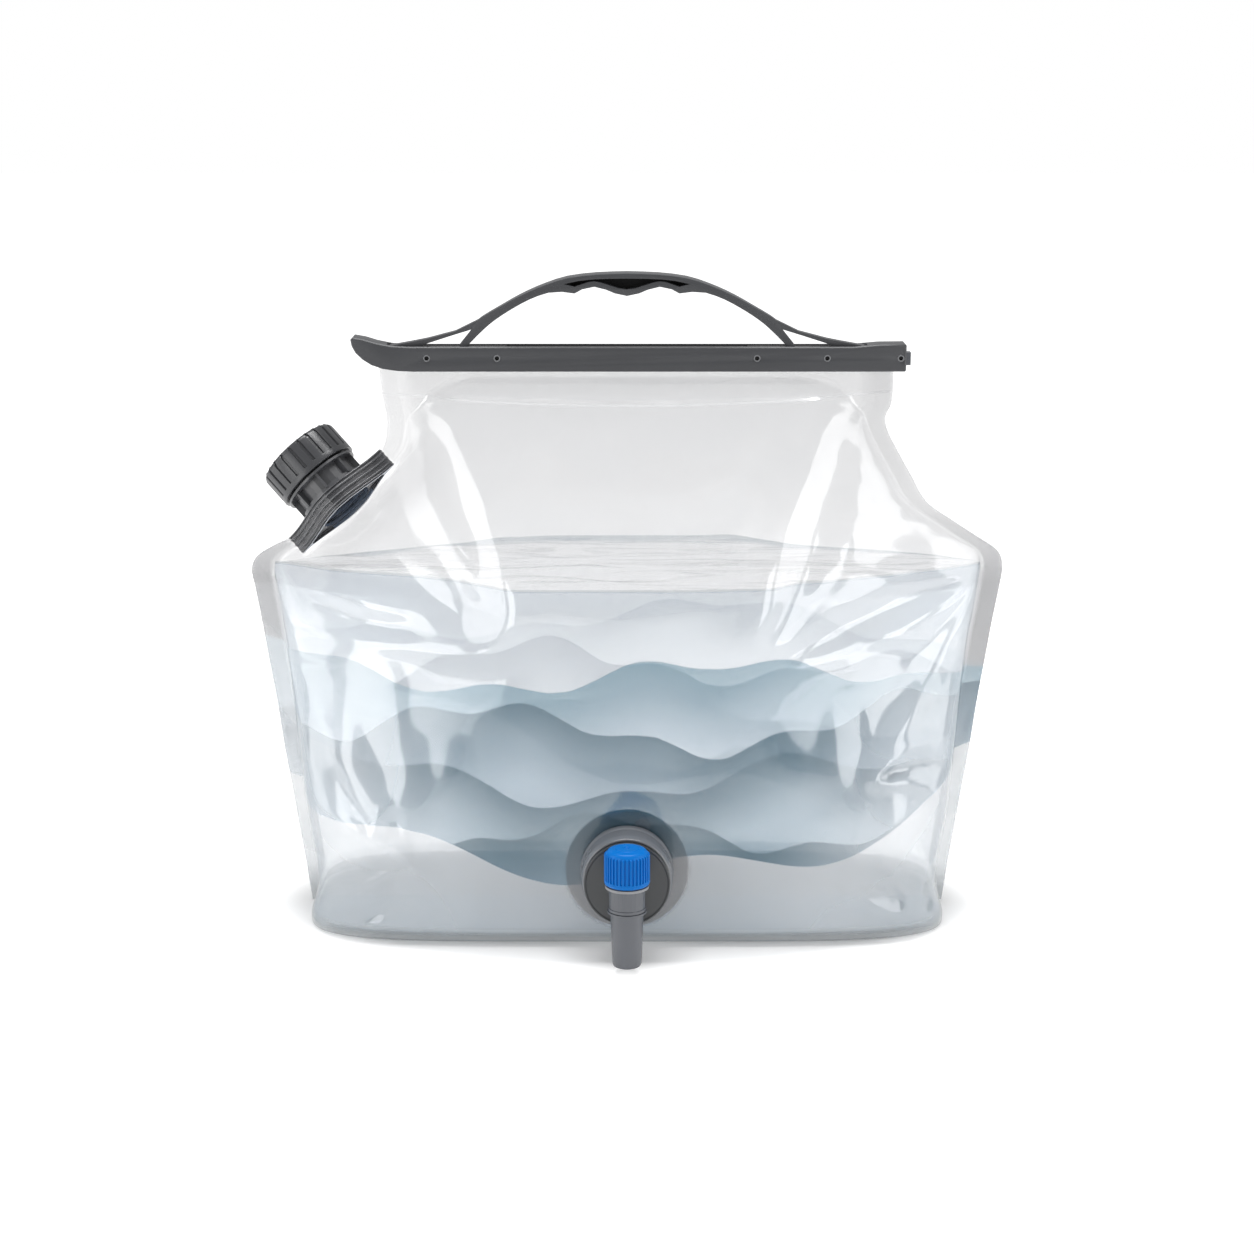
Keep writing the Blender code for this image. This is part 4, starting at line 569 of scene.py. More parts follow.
def filmDepth(x, z, side):
    # outer face of the film, measured from the side seams' plane
    left, right = innerEdges(z, side)
    depth = wallDepth(x, z, side)
    room = easeStep(depth / small["roomDepth"]) * rise(pouch["cadTop"] - z, *small["roomTop"])
    room = room * rise(z, *small["roomFoot"])
    seen = x if side < 0 else -x  # the back is folded as the front is, mirrored
    depth = depth + room * sum(readMap(heights, seen, z) for heights in foldMaps)
    depth = depth + room * small["drift"] * ripple(x, z, "film", side)
    # slack folds towards both sides: upright below, fanning out level under the shoulders
    high = rise(z, *small["slackLevel"])
    both = ripple(x, z, "upright", side) * (1 - high) + ripple(x, z, "level", side) * high
    depth = depth + room * rise(np.abs(x), *small["slackAcross"]) * small["slack"] * both
    # short puckers where the film runs into the side welds
    fromSeam = np.minimum(x - left, right - x)
    pucker = np.exp(-np.maximum(fromSeam, 0) / small["puckerFade"]) * easeStep(fromSeam / small["puckerStart"])
    depth = depth + pucker * small["pucker"] * ripple(x, z, "pucker", side)
    fromHem = (z - curveAt(hem["line"], x)) / hem["width"]
    depth = depth + hem["height"] * np.exp(-(fromHem**2)) * (fromSeam > 0)
    return np.maximum(np.maximum(depth, pouch["film"] + small["least"]), fitmentCover(x, z, side))


def overFitment(x, z):
    # 1 where the film lies on the filler's welded body
    along, out = fitmentPlace(x, z)
    half, inside = fitment["length"] / 2, -out - fitment["below"]
    lens = fall(inside, fitment["lens"] * bell(along / half), small["lensFade"])
    body = np.maximum(fall(inside, *small["onBody"]), small["lensShare"] * lens)
    return fall(np.abs(along) - half, *small["nearTip"]) * body


def besideFitment(x, z):
    # 1 where the film hangs from the filler, fading into the shoulder
    along, out = fitmentPlace(x, z)
    return (fall(-out - fitment["below"], *small["besideDown"])
            * fall(np.abs(along) - fitment["length"] / 2, *small["besideTip"]))


def seamWave(x, z, side):
    # the flat welded margin isn't quite flat: both films lie on the same slow wave there
    left, right = innerEdges(z, side)
    outside = np.maximum(np.maximum(left - x, x - right), 0)
    fade = easeStep(outside / small["waveOut"]) * fall(z, *small["waveTop"]) * rise(z, *small["waveFoot"])
    slow, quick = small["waveRuns"]
    return fade * small["wave"] * (np.sin(z / slow + 1.0) + 0.6 * np.sin(z / quick))


def placed(name, mesh, matrix=None):
    if matrix is not None:
        mesh.transform(matrix)
    piece = bpy.data.objects.new(name, mesh)
    bpy.context.scene.collection.objects.link(piece)
    return piece


def meshFrom(name, verts, faces, edges=()):
    mesh = bpy.data.meshes.new(name)
    mesh.from_pydata([tuple(v) for v in verts], edges, faces)
    return mesh


def quad(one, two, here, after):
    # a face between two rows of points that start at one and at two
    return one + here, one + after, two + after, two + here


def closed(bm, mesh, near):
    # doubles merged and faces turned outwards
    bmesh.ops.remove_doubles(bm, verts=bm.verts, dist=near)
    bmesh.ops.recalc_face_normals(bm, faces=bm.faces)
    bm.to_mesh(mesh)
    bm.free()
    return mesh


def mended(mesh):
    bm = bmesh.new()
    bm.from_mesh(mesh)
    return closed(bm, mesh, 1e-6)


def dress(piece, materials, body, replaced=(), sharp=35.0):
    piece.data.materials.clear()
    for made in materials:
        piece.data.materials.append(made)
    piece.data.shade_smooth()
    if sharp:
        piece.data.set_sharp_from_angle(angle=math.radians(sharp))
    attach(piece, body)
    if replaced:
        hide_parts(*replaced)
    return piece


# Film look: milky clear, with soft rolling bands printed up to two thirds of the water
filmLook = {
    "milk": srgb(118, 119, 126), "clearCover": 0.185, "bend": 2.1, "coatBend": 2.3, "coatRough": 0.08,
    "rough": (0.11, 0.08, 0.07),  # least, its cloudy share, and what ink adds
    "gloss": (1.0, 0.22), "coat": (1.0, 0.30),  # clear, inked
    "inkEdge": 0.0007, "wander": 0.012, "thinning": 0.22,
    "drift": (9.0, 5.0), "haze": (30.0, 6.0), "fine": (45.0, 1.0), "bump": (0.00012, 0.12),
    "bands": [
        # crest height, swell, wave length, phase, second swell, length, phase, fade, crest colour, foot colour, cover
        (0.1620, 0.010, 0.290, 0.6, 0.0040, 0.083, 1.1, 0.050, srgb(84, 144, 166), srgb(148, 178, 196), 0.46),
        (0.1320, 0.013, 0.245, 3.4, 0.0045, 0.071, 0.2, 0.046, srgb(34, 98, 122), srgb(132, 164, 184), 0.64),
        (0.1010, 0.012, 0.270, 5.3, 0.0050, 0.094, 2.0, 0.040, srgb(30, 94, 118), srgb(136, 168, 186), 0.65),
        (0.0690, 0.011, 0.215, 1.9, 0.0040, 0.066, 4.0, 0.038, srgb(28, 92, 114), srgb(140, 170, 188), 0.64),
    ],
    # painted highlight: where and how pale the print is blended at the sides, for the side lights' glow
    "sideGlowPaint": (0.095, 0.170, 0.0, 0.60), "sideGlowPaintTone": srgb(226, 231, 236), "sideGlowPaintTop": 0.2,
    "sideShine": (0.070, 0.120, 1.0, 0.66), "lowDull": (0.095, 0.150, 0.62, 0.0), "marginDull": 0.85,
    "sand": {"low": 0.046, "rise": 0.044, "half": 0.2, "power": 2.2, "swell": 0.009, "length": 0.16,
             "fade": 0.06, "tones": (srgb(244, 245, 246), srgb(224, 229, 232)), "cover": 0.35},
    "foot": {"height": 0.0105, "tone": srgb(196, 202, 204), "share": 0.35, "cover": 0.08},
    # the hem's fine pale line is painted highlight
    "hem": {"rise": 0.28, "height": 0.3075, "edge": 0.0008, "cover": 0.008, "highlightLineWidth": 0.0011,
            "highlightLineCover": 0.12, "tone": srgb(232, 232, 236)},
    "finCover": (0.20, 0.26, 0.34, 0.13), "finFade": 0.40, "finTone": srgb(104, 105, 112), "finShare": 0.6,
    "bareShare": 0.95,
}


def filmMaterial(name, shift, mirror, strength):
    look = filmLook
    made, tree, shader = newMaterial(name)
    place = objectPlace(tree)
    wide, _, z = axesOf(tree, place)
    x = wide * mirror + shift
    wander = (noise(tree, place, *look["drift"], {"Roughness": 0.55}) - 0.5) * look["wander"]
    colour, cover, printed = look["milk"], look["clearCover"], 0.0

    def laid(under, fade, tones, ink, thinning):
        mask, depth = under.share(look["inkEdge"]), under.share(fade)
        inked = depth * (-thinning * strength) + ink * strength
        return mask, mix(tree, mask, colour, mix(tree, depth, *tones)), mask * inked + (1.0 - mask) * cover

    for crest, swell, length, phase, swell2, length2, phase2, fade, *tones, ink in look["bands"]:
        line = x.sine(length, phase) * swell + x.sine(length2, phase2) * swell2 + wander + crest
        mask, colour, cover = laid(line - z, fade, tones, ink, look["thinning"])
        printed = mask.most(printed)
    # painted highlight: towards both sides the print is blended to a pale tone that stands in for the glow of the side
    # lights, but not on the right margin
    margin = attribute(tree, "weld")
    onRight = margin * (1.0 - wide.below(0.0))
    paintedSideGlow = abs(x).mapped(*look["sideGlowPaint"]) * z.below(look["sideGlowPaintTop"]) * (1.0 - onRight)
    colour = mix(tree, paintedSideGlow, colour, look["sideGlowPaintTone"])
    # pale drifts at the foot, rising to both corners
    sand = look["sand"]
    line = abs(x * (1 / sand["half"])) ** sand["power"] * sand["rise"] + x.sine(sand["length"]) * sand["swell"]
    mask, colour, cover = laid(line + sand["low"] - z, sand["fade"], sand["tones"], sand["cover"], 0.0)
    # doubled film in the foot's weld
    foot = look["foot"]
    mask = z.below(foot["height"])
    colour = mix(tree, mask * foot["share"], colour, foot["tone"])
    cover = mask * foot["cover"] + cover
    # a doubled band at the mouth, ending in a fine pale weld line painted as the highlight along the hem's crease
    band = look["hem"]
    over = z - (wide * wide * band["rise"] + band["height"])
    fine = (1.0 - abs(over) * (1 / band["highlightLineWidth"])).clamped()
    colour = mix(tree, fine, colour, band["tone"])
    cover = over.share(band["edge"]) * band["cover"] + fine * (band["highlightLineCover"] * strength**2) + cover
    # the welded margins are a little milkier, and the filler's body shows nearly bare
    colour = mix(tree, margin * (1.0 - printed) * look["finShare"], colour, look["finTone"])
    cover = cover * (1.0 - (margin - onRight) * look["finFade"])
    cover = cover.most(margin * z.mapped(*look["finCover"], "LINEAR"))
    cover = cover * (1.0 - attribute(tree, "bare") * look["bareShare"])
    # ink, welds and the foot's creases dull the film, though ink less so towards the sides
    dull = (printed * abs(x).mapped(*look["sideShine"])).most(margin * look["marginDull"])
    dull = dull.most(z.mapped(*look["lowDull"])).most(attribute(tree, "calm"))
    least, cloudy, inked = look["rough"]
    feed(tree, shader, {
        "Base Color": colour, "Alpha": cover,
        "Roughness": noise(tree, place, *look["haze"]) * cloudy + dull * inked + least,
        "Specular IOR Level": dull * (look["gloss"][1] - look["gloss"][0]) + look["gloss"][0],
        "Coat Weight": dull * (look["coat"][1] - look["coat"][0]) + look["coat"][0],
        "Normal": bumped(tree, noise(tree, place, *look["fine"]), *look["bump"]),
        "IOR": look["bend"], "Coat Roughness": look["coatRough"], "Coat IOR": look["coatBend"]})
    return made


finish["frontFilm"] = filmMaterial("printedFilmFront", 0.0, 1.0, 1.0)
finish["backFilm"] = filmMaterial("printedFilmBack", 0.11, -1.0, 0.5)

tap = {"height": 0.0475, "wall": 0.0795, "upright": -0.120, "neckHole": 0.0210, "holeEdge": (0.93, 1.06),
       "ring": 0.0345}


def filmSheet(name, side, made, node):
    fin = pouch["finColumns"]
    z = np.linspace(pouch["foot"], pouch["top"], pouch["rows"])
    left, right, width = filmLeft(z, side), rightSide(z), finWidth(z)
    columns = [left + width * k / fin for k in range(fin)]
    columns += [(left + right) / 2 + ((right - left) / 2 - width) * r for r in spaced(pouch["columns"], 0.6)]
    columns += [right - width * (fin - 1 - k) / fin for k in range(fin)]
    x = np.stack(columns, axis=1)
    zz = np.repeat(z[:, None], x.shape[1], axis=1)
    y = side * filmDepth(x, zz, side) + seamWave(x, zz, side)
    verts = np.stack([x, y, zz], axis=-1).reshape(-1, 3)
    count = x.shape[1]
    faces = []
    for r in range(pouch["rows"] - 1):
        for c in range(count - 1):
            a, b = r * count + c, (r + 1) * count + c
            middle = (verts[a] + verts[b + 1]) / 2
            if side > 0:
                faces.append((b, b + 1, a + 1, a))
            elif math.hypot(middle[0], middle[2] - tap["height"]) >= tap["neckHole"]:
                faces.append((a, a + 1, b + 1, b))
    if side < 0:
        # round the hole off for the tap's neck
        reach = np.hypot(verts[:, 0], verts[:, 2] - tap["height"])
        least, most = tap["holeEdge"]
        near = (reach > tap["neckHole"] * least) & (reach < tap["neckHole"] * most)
        scale = tap["neckHole"] / reach[near]
        verts[near, 0] *= scale
        verts[near, 2] = tap["height"] + (verts[near, 2] - tap["height"]) * scale
    mesh = meshFrom(name, verts, faces)
    # how welded the film is, how bare what lies behind shows, and how calm the film is
    inside = np.minimum(x - (left + width)[:, None], (right - width)[:, None] - x)
    weld = small["weldShare"] * fall(inside, 0, small["weldFade"])
    weld[:, :fin] = weld[:, -fin:] = 1
    overRing = small["ringShare"] * fall(np.hypot(x, zz - tap["height"]), tap["ring"], small["ringFade"]) * (side < 0)
    for label, values in (("weld", weld), ("bare", np.maximum(overFitment(x, zz), overRing)),
                          ("calm", small["calmShare"] * besideFitment(x, zz))):
        mesh.attributes.new(label, "FLOAT", "POINT").data.foreach_set("value", values.reshape(-1))
    bm = bmesh.new()
    bm.from_mesh(mesh)
    bmesh.ops.delete(bm, geom=[v for v in bm.verts if not v.link_faces], context="VERTS")
    bm.to_mesh(mesh)
    bm.free()
    piece = dress(placed(name, mesh), [made], "pouch", (node,), sharp=0)
    thick = piece.modifiers.new("film thickness", "SOLIDIFY")
    thick.thickness = pouch["film"]
    thick.offset = -1


filmSheet("frontSheet", -1, finish["frontFilm"], "front_film")
filmSheet("backSheet", 1, finish["backFilm"], "back_film")
print("film sheets laid")

gusset = {"rim": 0.0062, "inset": 0.0014, "film": 0.0005, "count": 150}


def floorLoop(height, inset):
    run, height = spaced(gusset["count"], 0.3), max(height, pouch["foot"])
    left, right = leftSide(height) + finWidth(height), rightSide(height) - finWidth(height)
    middle, half = (left + right) / 2, (right - left) / 2
    x = middle + (half - inset) * run
    at, level = middle + half * run, np.full_like(run, height)
    front, back = (np.maximum(filmDepth(at, level, side) - inset, 0) for side in (-1, 1))
    return [(a, -d) for a, d in zip(x, front)] + [(a, d) for a, d in zip(x[-2:0:-1], back[-2:0:-1])]


def floorSheet():
    # the floor: a flat film whose rim is turned up inside the walls
    outer, inner = gusset["inset"], gusset["inset"] + gusset["film"]
    rings = [(0.0, outer), (gusset["rim"], outer), (gusset["rim"], inner), (gusset["film"], inner)]
    verts = [(a, b, height) for height, inset in rings for a, b in floorLoop(height, inset)]
    count = len(verts) // len(rings)
    faces = []
    for k in range(len(rings) - 1):
        faces += [quad(k * count, (k + 1) * count, j, (j + 1) % count) for j in range(count)]
    for base, order in ((0, -1), (count * (len(rings) - 1), 1)):
        for j in range(gusset["count"] - 1):
            ends = (j, j + 1, (count - j - 1) % count, (count - j) % count)
            faces.append(tuple(base + v for v in dict.fromkeys(ends))[::order])
    mesh = meshFrom("floorSheet", verts, faces)
    dress(placed("floorSheet", mended(mesh)), [finish["backFilm"]], "pouch", ("base_gusset",))


floorSheet()

# Water: follows the film's inner side, with a lively surface; its pale streaks and front line are painted highlights
# and its back edge painted shade
water = {
    "level": 0.2125, "foot": 0.0030, "gap": 0.0012, "rows": 60, "columns": 150, "across": 40, "swell": 0.0011,
    "bulk": srgb(92, 162, 204), "bulkCover": (0.26, 0.08), "surface": srgb(252, 253, 254), "glintCover": 0.45,
    # painted light on the water: a darker bluish band as shade along the surface's back edge, a bright line as
    # highlight along its front
    "backPaintedShade": (srgb(150, 180, 198), 0.34), "frontPaintedHighlight": (srgb(240, 246, 250), 0.45),
    "ring": (0.0375, 0.0758),  # round the tap it stays inside this radius behind this depth
    "side": 0.001, "thinnest": 0.0002, "highlightBelow": 0.0018, "highlightEdge": 0.0008, "topBand": 0.008,
    "calm": (6, 8), "paintedShadeNearBack": (0.80, 0.14), "up": 0.7,
    "stretch": (5.0, 34.0, 5.0), "cloud": (2.2, 3.0), "glintStreak": (5.5, 2.55), "bump": (0.004, 0.35),
}


def waterBulk():
    made, tree, shader = newMaterial("waterBulk")
    _, y, z = axesOf(tree, objectPlace(tree))
    # painted highlight: a bright line where the surface climbs the front film, standing in for the light caught there
    tone, strength = water["frontPaintedHighlight"]
    line = (z - (water["level"] - water["highlightBelow"])).share(water["highlightEdge"]) * y.below(0.0)
    front, back = water["bulkCover"]
    feed(tree, shader, {
        "Base Color": mix(tree, line, water["bulk"], tone), "Roughness": 0.10, "IOR": 1.33,
        "Alpha": line * strength + y.below(0.0) * (front - back) + back})
    return made


def waterSurface():
    made, tree, shader = newMaterial("waterSurface")
    stretch = put(tree, "ShaderNodeMapping", {"Vector": objectPlace(tree), "Scale": water["stretch"]})
    cloud = noise(tree, stretch.outputs[0], *water["cloud"], {"Distortion": 1.2})
    (gain, less), (tone, strength) = water["glintStreak"], water["backPaintedShade"]
    glintStreak, back = (cloud * gain - less).clamped(), attribute(tree, "back")
    # painted highlight: the pale streaks stand in for the lamps caught by the ripples, and the band near the back is
    # painted shade
    feed(tree, shader, {
        "Base Color": mix(tree, back, water["surface"], tone), "Roughness": 0.08, "IOR": 1.9,
        "Alpha": (glintStreak * water["glintCover"]).most(back * strength),
        "Normal": bumped(tree, cloud, *water["bump"])})
    return made


def waterWall(side, heights, run):
    wall = []
    for z in heights:
        left = max(filmLeft(z, -1), filmLeft(z, 1)) + finWidth(z) + water["side"]
        right = rightSide(z) - finWidth(z) - water["side"]
        x = (left + right) / 2 + (right - left) / 2 * run
        zz = np.full_like(x, z)
        depth = np.maximum(filmDepth(x, zz, side) - pouch["film"] - water["gap"], water["thinnest"])
        if side < 0:
            reach, most = water["ring"]
            depth = np.where(np.hypot(x, zz - tap["height"]) < reach, np.minimum(depth, most), depth)
        depth[0] = depth[-1] = 0.0
        wall.append(np.stack([x, side * depth, zz], axis=-1))
    return wall


def waterBody():
    count, across = water["columns"], water["across"]
    run, (nearWall, nearSide) = spaced(count, 0.4), water["calm"]
    heights = np.linspace(water["foot"], water["level"], water["rows"])
    front, back = waterWall(-1, heights, run), waterWall(1, heights[::-1], run)
    skin = []
    for k in range(1, across):
        share = k / across
        strip = front[-1] * (1 - share) + back[0] * share
        calm = easeStep(min(share, 1 - share) * nearWall) * easeStep((1 - np.abs(run)) * nearSide)
        strip[:, 2] += water["swell"] * ripple(strip[:, 0], strip[:, 1], "water") * calm
        skin.append(strip)
    floor = [back[-1] * (1 - k / 6) + front[0] * (k / 6) for k in range(1, 6)]
    rings = front + skin + back + floor
    faces = []
    for k in range(len(rings)):
        after = (k + 1) % len(rings) * count
        faces += [quad(k * count, after, c, c + 1) for c in range(count - 1)]
    mesh = meshFrom("waterFill", np.concatenate(rings), faces)
    # painted shade: a ramp towards the back edge of the surface, where the surface is painted a darker bluish grey
    paintedShadeNearBack = np.zeros((len(rings), count))
    for k in range(across - 1):
        paintedShadeNearBack[len(front) + k] = rise((k + 1) / across, *water["paintedShadeNearBack"])
    paintedShadeNearBack[len(front) + len(skin)] = 1
    mesh.attributes.new("back", "FLOAT", "POINT").data.foreach_set("value", paintedShadeNearBack.reshape(-1))
    piece = dress(placed("waterFill", mended(mesh)), [waterBulk(), waterSurface()], "pouch")
    for face in piece.data.polygons:
        if face.normal.z > water["up"] and face.center.z > water["level"] - water["topBand"]:
            face.material_index = 1


waterBody()
print("water poured")


def rounded(profile, steps=4):
    # (radius, height, rounding) corners to a plain outline with curved corners
    points = []
    count = len(profile)
    for i, (r, h, soft) in enumerate(profile):
        here = Vector((r, h))
        if soft <= 0:
            points.append((r, h))
            continue
        before, after = Vector(profile[i - 1][:2]), Vector(profile[(i + 1) % count][:2])
        reach = min(soft, (before - here).length * 0.48, (after - here).length * 0.48)
        start, end = here + (before - here).normalized() * reach, here + (after - here).normalized() * reach
        for k in range(steps + 1):
            t = k / steps
            spot = start * (1 - t) ** 2 + here * 2 * t * (1 - t) + end * t**2
            points.append((max(spot.x, 0.0), spot.y))
    return points


def turnedMesh(name, profile, segments):
    # a closed outline spun about Z
    outline = rounded(profile)
    bm = bmesh.new()
    rings = []
    for k in range(segments):
        turn = math.tau * k / segments
        rings.append([bm.verts.new((r * math.cos(turn), r * math.sin(turn), h)) for r, h in outline])
    for one, two in zip(rings, rings[1:] + rings[:1]):
        for j in range(len(outline)):
            n = (j + 1) % len(outline)
            bm.faces.new((one[j], two[j], two[n], one[n]))
    return closed(bm, bpy.data.meshes.new(name), 2e-6)


def ribMesh(name, radius, halfWidth, rows, embed, columns, edge):
    # one raised pad with soft edges; rows are (height, how far it stands proud)
    bm = bmesh.new()
    grid = []
    for z, proud in rows:
        line = []
        for t in spaced(columns, 0):
            y = t * halfWidth
            inward = min((1 - abs(t)) * halfWidth / edge, 1.0)
            soft = math.sqrt(max(1 - (1 - inward) ** 2, 0))
            sag = radius - math.sqrt(radius**2 - y**2)
            line.append(bm.verts.new((proud * (0.25 + 0.75 * soft) - sag, y, z)))
        grid.append(line)
    for one, two in zip(grid, grid[1:]):
        for j in range(columns - 1):
            bm.faces.new((one[j], one[j + 1], two[j + 1], two[j]))
    rim = grid[0][:] + [line[-1] for line in grid[1:]] + grid[-1][-2::-1] + [line[0] for line in grid[-2:0:-1]]
    back = [bm.verts.new((-embed, v.co.y, v.co.z)) for v in rim]
    for j in range(len(rim)):
        n = (j + 1) % len(rim)
        bm.faces.new((rim[n], rim[j], back[j], back[n]))
    bm.faces.new(back)
    return closed(bm, bpy.data.meshes.new(name), 1e-7)


def nodeTree(name, inputs):
    tree = bpy.data.node_groups.new(name, "GeometryNodeTree")
    sockets = {}
    for label, kind in inputs.items():
        sockets[label] = tree.interface.new_socket(label, in_out="INPUT", socket_type=f"NodeSocket{kind}").identifier
    tree.interface.new_socket("Geometry", in_out="OUTPUT", socket_type="NodeSocketGeometry")
    return tree, sockets, put(tree, "NodeGroupInput").outputs


def endTree(tree, geometry, made):
    real = put(tree, "GeometryNodeRealizeInstances", {"Geometry": geometry})
    finished = put(tree, "GeometryNodeSetMaterial", {"Geometry": real.outputs[0], "Material": made})
    put(tree, "NodeGroupOutput", {"Geometry": finished.outputs[0]})


def ribTree():
    # copies of one rib, evenly round an upright axis, joined to the body they stand on
    tree, sockets, given = nodeTree("ribsRound", {
        "Body": "Geometry", "Rib": "Object", "Count": "Int", "Radius": "Float", "Finish": "Material"})
    circle = put(tree, "GeometryNodeMeshCircle", {"Vertices": given["Count"], "Radius": given["Radius"]})
    rib = put(tree, "GeometryNodeObjectInfo", {"Object": given["Rib"]})
    place = put(tree, "GeometryNodeInputPosition")
    turn = put(tree, "FunctionNodeAlignRotationToVector", {"Vector": place.outputs[0]}, axis="X", pivot_axis="Z")
    copies = put(tree, "GeometryNodeInstanceOnPoints", {
        "Points": circle.outputs["Mesh"], "Instance": rib.outputs["Geometry"], "Rotation": turn.outputs[0]})
    joined = put(tree, "GeometryNodeJoinGeometry", {"Geometry": copies.outputs[0]})
    tree.links.new(given["Body"], joined.inputs["Geometry"])
    endTree(tree, joined.outputs[0], given["Finish"])
    return tree, sockets


def ridgeTree():
    # a round section swept along closed paths
    tree, sockets, given = nodeTree("ridgeSweep", {
        "Path": "Geometry", "Radius": "Float", "Sides": "Int", "Finish": "Material"})
    path = put(tree, "GeometryNodeMeshToCurve", {"Mesh": given["Path"]})
    circle = {"Resolution": given["Sides"], "Radius": given["Radius"]}
    section = put(tree, "GeometryNodeCurvePrimitiveCircle", circle).outputs["Curve"]
    swept = put(tree, "GeometryNodeCurveToMesh", {"Curve": path.outputs[0], "Profile Curve": section})
    endTree(tree, swept.outputs[0], given["Finish"])
    return tree, sockets


def rimTree():
    # one rim at each point, turned the way the point faces
    tree, sockets, given = nodeTree("rimsAtPoints", {"Places": "Geometry", "Rim": "Object", "Finish": "Material"})
    rim = put(tree, "GeometryNodeObjectInfo", {"Object": given["Rim"]})
    outward = put(tree, "GeometryNodeInputNamedAttribute", {"Name": "facing"}, data_type="FLOAT_VECTOR")
    turn = put(tree, "FunctionNodeAlignRotationToVector", {"Vector": outward.outputs[0]}, axis="Z")
    copies = put(tree, "GeometryNodeInstanceOnPoints", {
        "Points": given["Places"], "Instance": rim.outputs["Geometry"], "Rotation": turn.outputs[0]})
    endTree(tree, copies.outputs[0], given["Finish"])
    return tree, sockets


def plainly(piece):
    # the evaluated shape as a plain mesh
    bpy.context.view_layer.update()
    mesh = bpy.data.meshes.new_from_object(piece.evaluated_get(bpy.context.evaluated_depsgraph_get()))
    piece.modifiers.clear()
    piece.data = mesh


def applyNodes(piece, made, values):
    tree, sockets = made
    step = piece.modifiers.new("nodes", "NODES")
    step.node_group = tree
    for label, value in values.items():
        step[sockets[label]] = value
    plainly(piece)
    for value in values.values():
        if isinstance(value, bpy.types.Object):
            bpy.data.objects.remove(value)


# Filler: frame of its own, X along the shoulder and Z out of the neck
fillerAxes = (Vector((0.7174, 0, 0.696661)), Vector((0.203684, 0.956305, -0.209748)),
              Vector((-0.66622, 0.292372, 0.686053)))
fillerFrame = Matrix.Translation((-0.169291, 0, 0.2496)) @ Matrix(fillerAxes).transposed().to_4x4()
tapUpright = Matrix.Translation((0, tap["upright"], tap["height"]))
tapLevel = Matrix.Translation((0, -tap["wall"], tap["height"])) @ Matrix.Rotation(math.pi / 2, 4, "X")
ribsRound = ribTree()


def ribbed(name, facts, body, levels, end, made, matrix):
    # levels are the rib's heights; its end bends in, up to the height that end names
    proud, root = facts["ribProud"], facts["radius"] - facts["ribProud"]
    rows = [(z, proud) for z in levels]
    for k in range(1, facts["endSteps"] + 1):
        turn = math.pi / 2 * k / facts["endSteps"]
        rows.append((levels[-1] + (end - levels[-1]) * math.sin(turn), proud - facts["endIn"] * (1 - math.cos(turn))))
    rib = ribMesh(f"{name}Rib", root, facts["ribHalfWidth"], rows, facts["ribRoot"], facts["columns"], facts["ribEdge"])
    piece, one = placed(name, body), placed(f"{name}Rib", rib)
    applyNodes(piece, ribsRound, {"Rib": one, "Count": facts["ribs"], "Radius": root, "Finish": made})
    piece.data.transform(matrix)
    return piece


cap = {"radius": 0.0255, "low": 0.0186, "height": 0.0208, "wall": 0.0030, "roof": 0.0022, "band": 0.0033,
       "ribs": 24, "ribHalfWidth": 0.00262, "ribProud": 0.00095, "ribRoot": 0.0042, "ribEdge": 0.00045,
       "crown": 0.0030, "dish": 0.0005, "columns": 7, "endSteps": 5, "endIn": 0.0030}


def fillerCap():
    low, high = cap["low"], cap["low"] + cap["height"]
    inner, root = cap["radius"] - cap["wall"], cap["radius"] - cap["ribProud"]
    body = turnedMesh("capBody", [
        (inner, low, 0.0004), (cap["radius"], low, 0.0006), (cap["radius"], low + cap["band"], 0.0004),
        (root, low + cap["band"] + 0.0004, 0.0002), (root, high - cap["crown"], 0.0024),
        (root - cap["crown"], high, 0.0024), (0.0180, high, 0.0004), (0.0174, high - cap["dish"], 0.0004),
        (0, high - cap["dish"], 0), (0, high - cap["roof"], 0), (inner, high - cap["roof"], 0.0008)], 120)
    foot, bend = low + cap["band"] - 0.0003, high - cap["crown"] - 0.0004
    levels = (foot, foot + 0.0006, (foot + bend) / 2, bend)
    piece = ribbed("capShell", cap, body, levels, high - 0.0006, finish["capGrey"], fillerFrame)
    dress(piece, [finish["capGrey"]], "cap", ("filler_cap",), sharp=48)


knob = {"radius": 0.0129, "skirt": 0.0026, "shoulder": 0.0036, "bore": 0.0092, "roof": 0.0040,
        "ribs": 36, "ribHalfWidth": 0.00068, "ribProud": 0.00090, "ribRoot": 0.0012, "ribEdge": 0.00055,
        "ribEnd": 0.0011, "columns": 5, "endSteps": 4, "endIn": 0.0008}


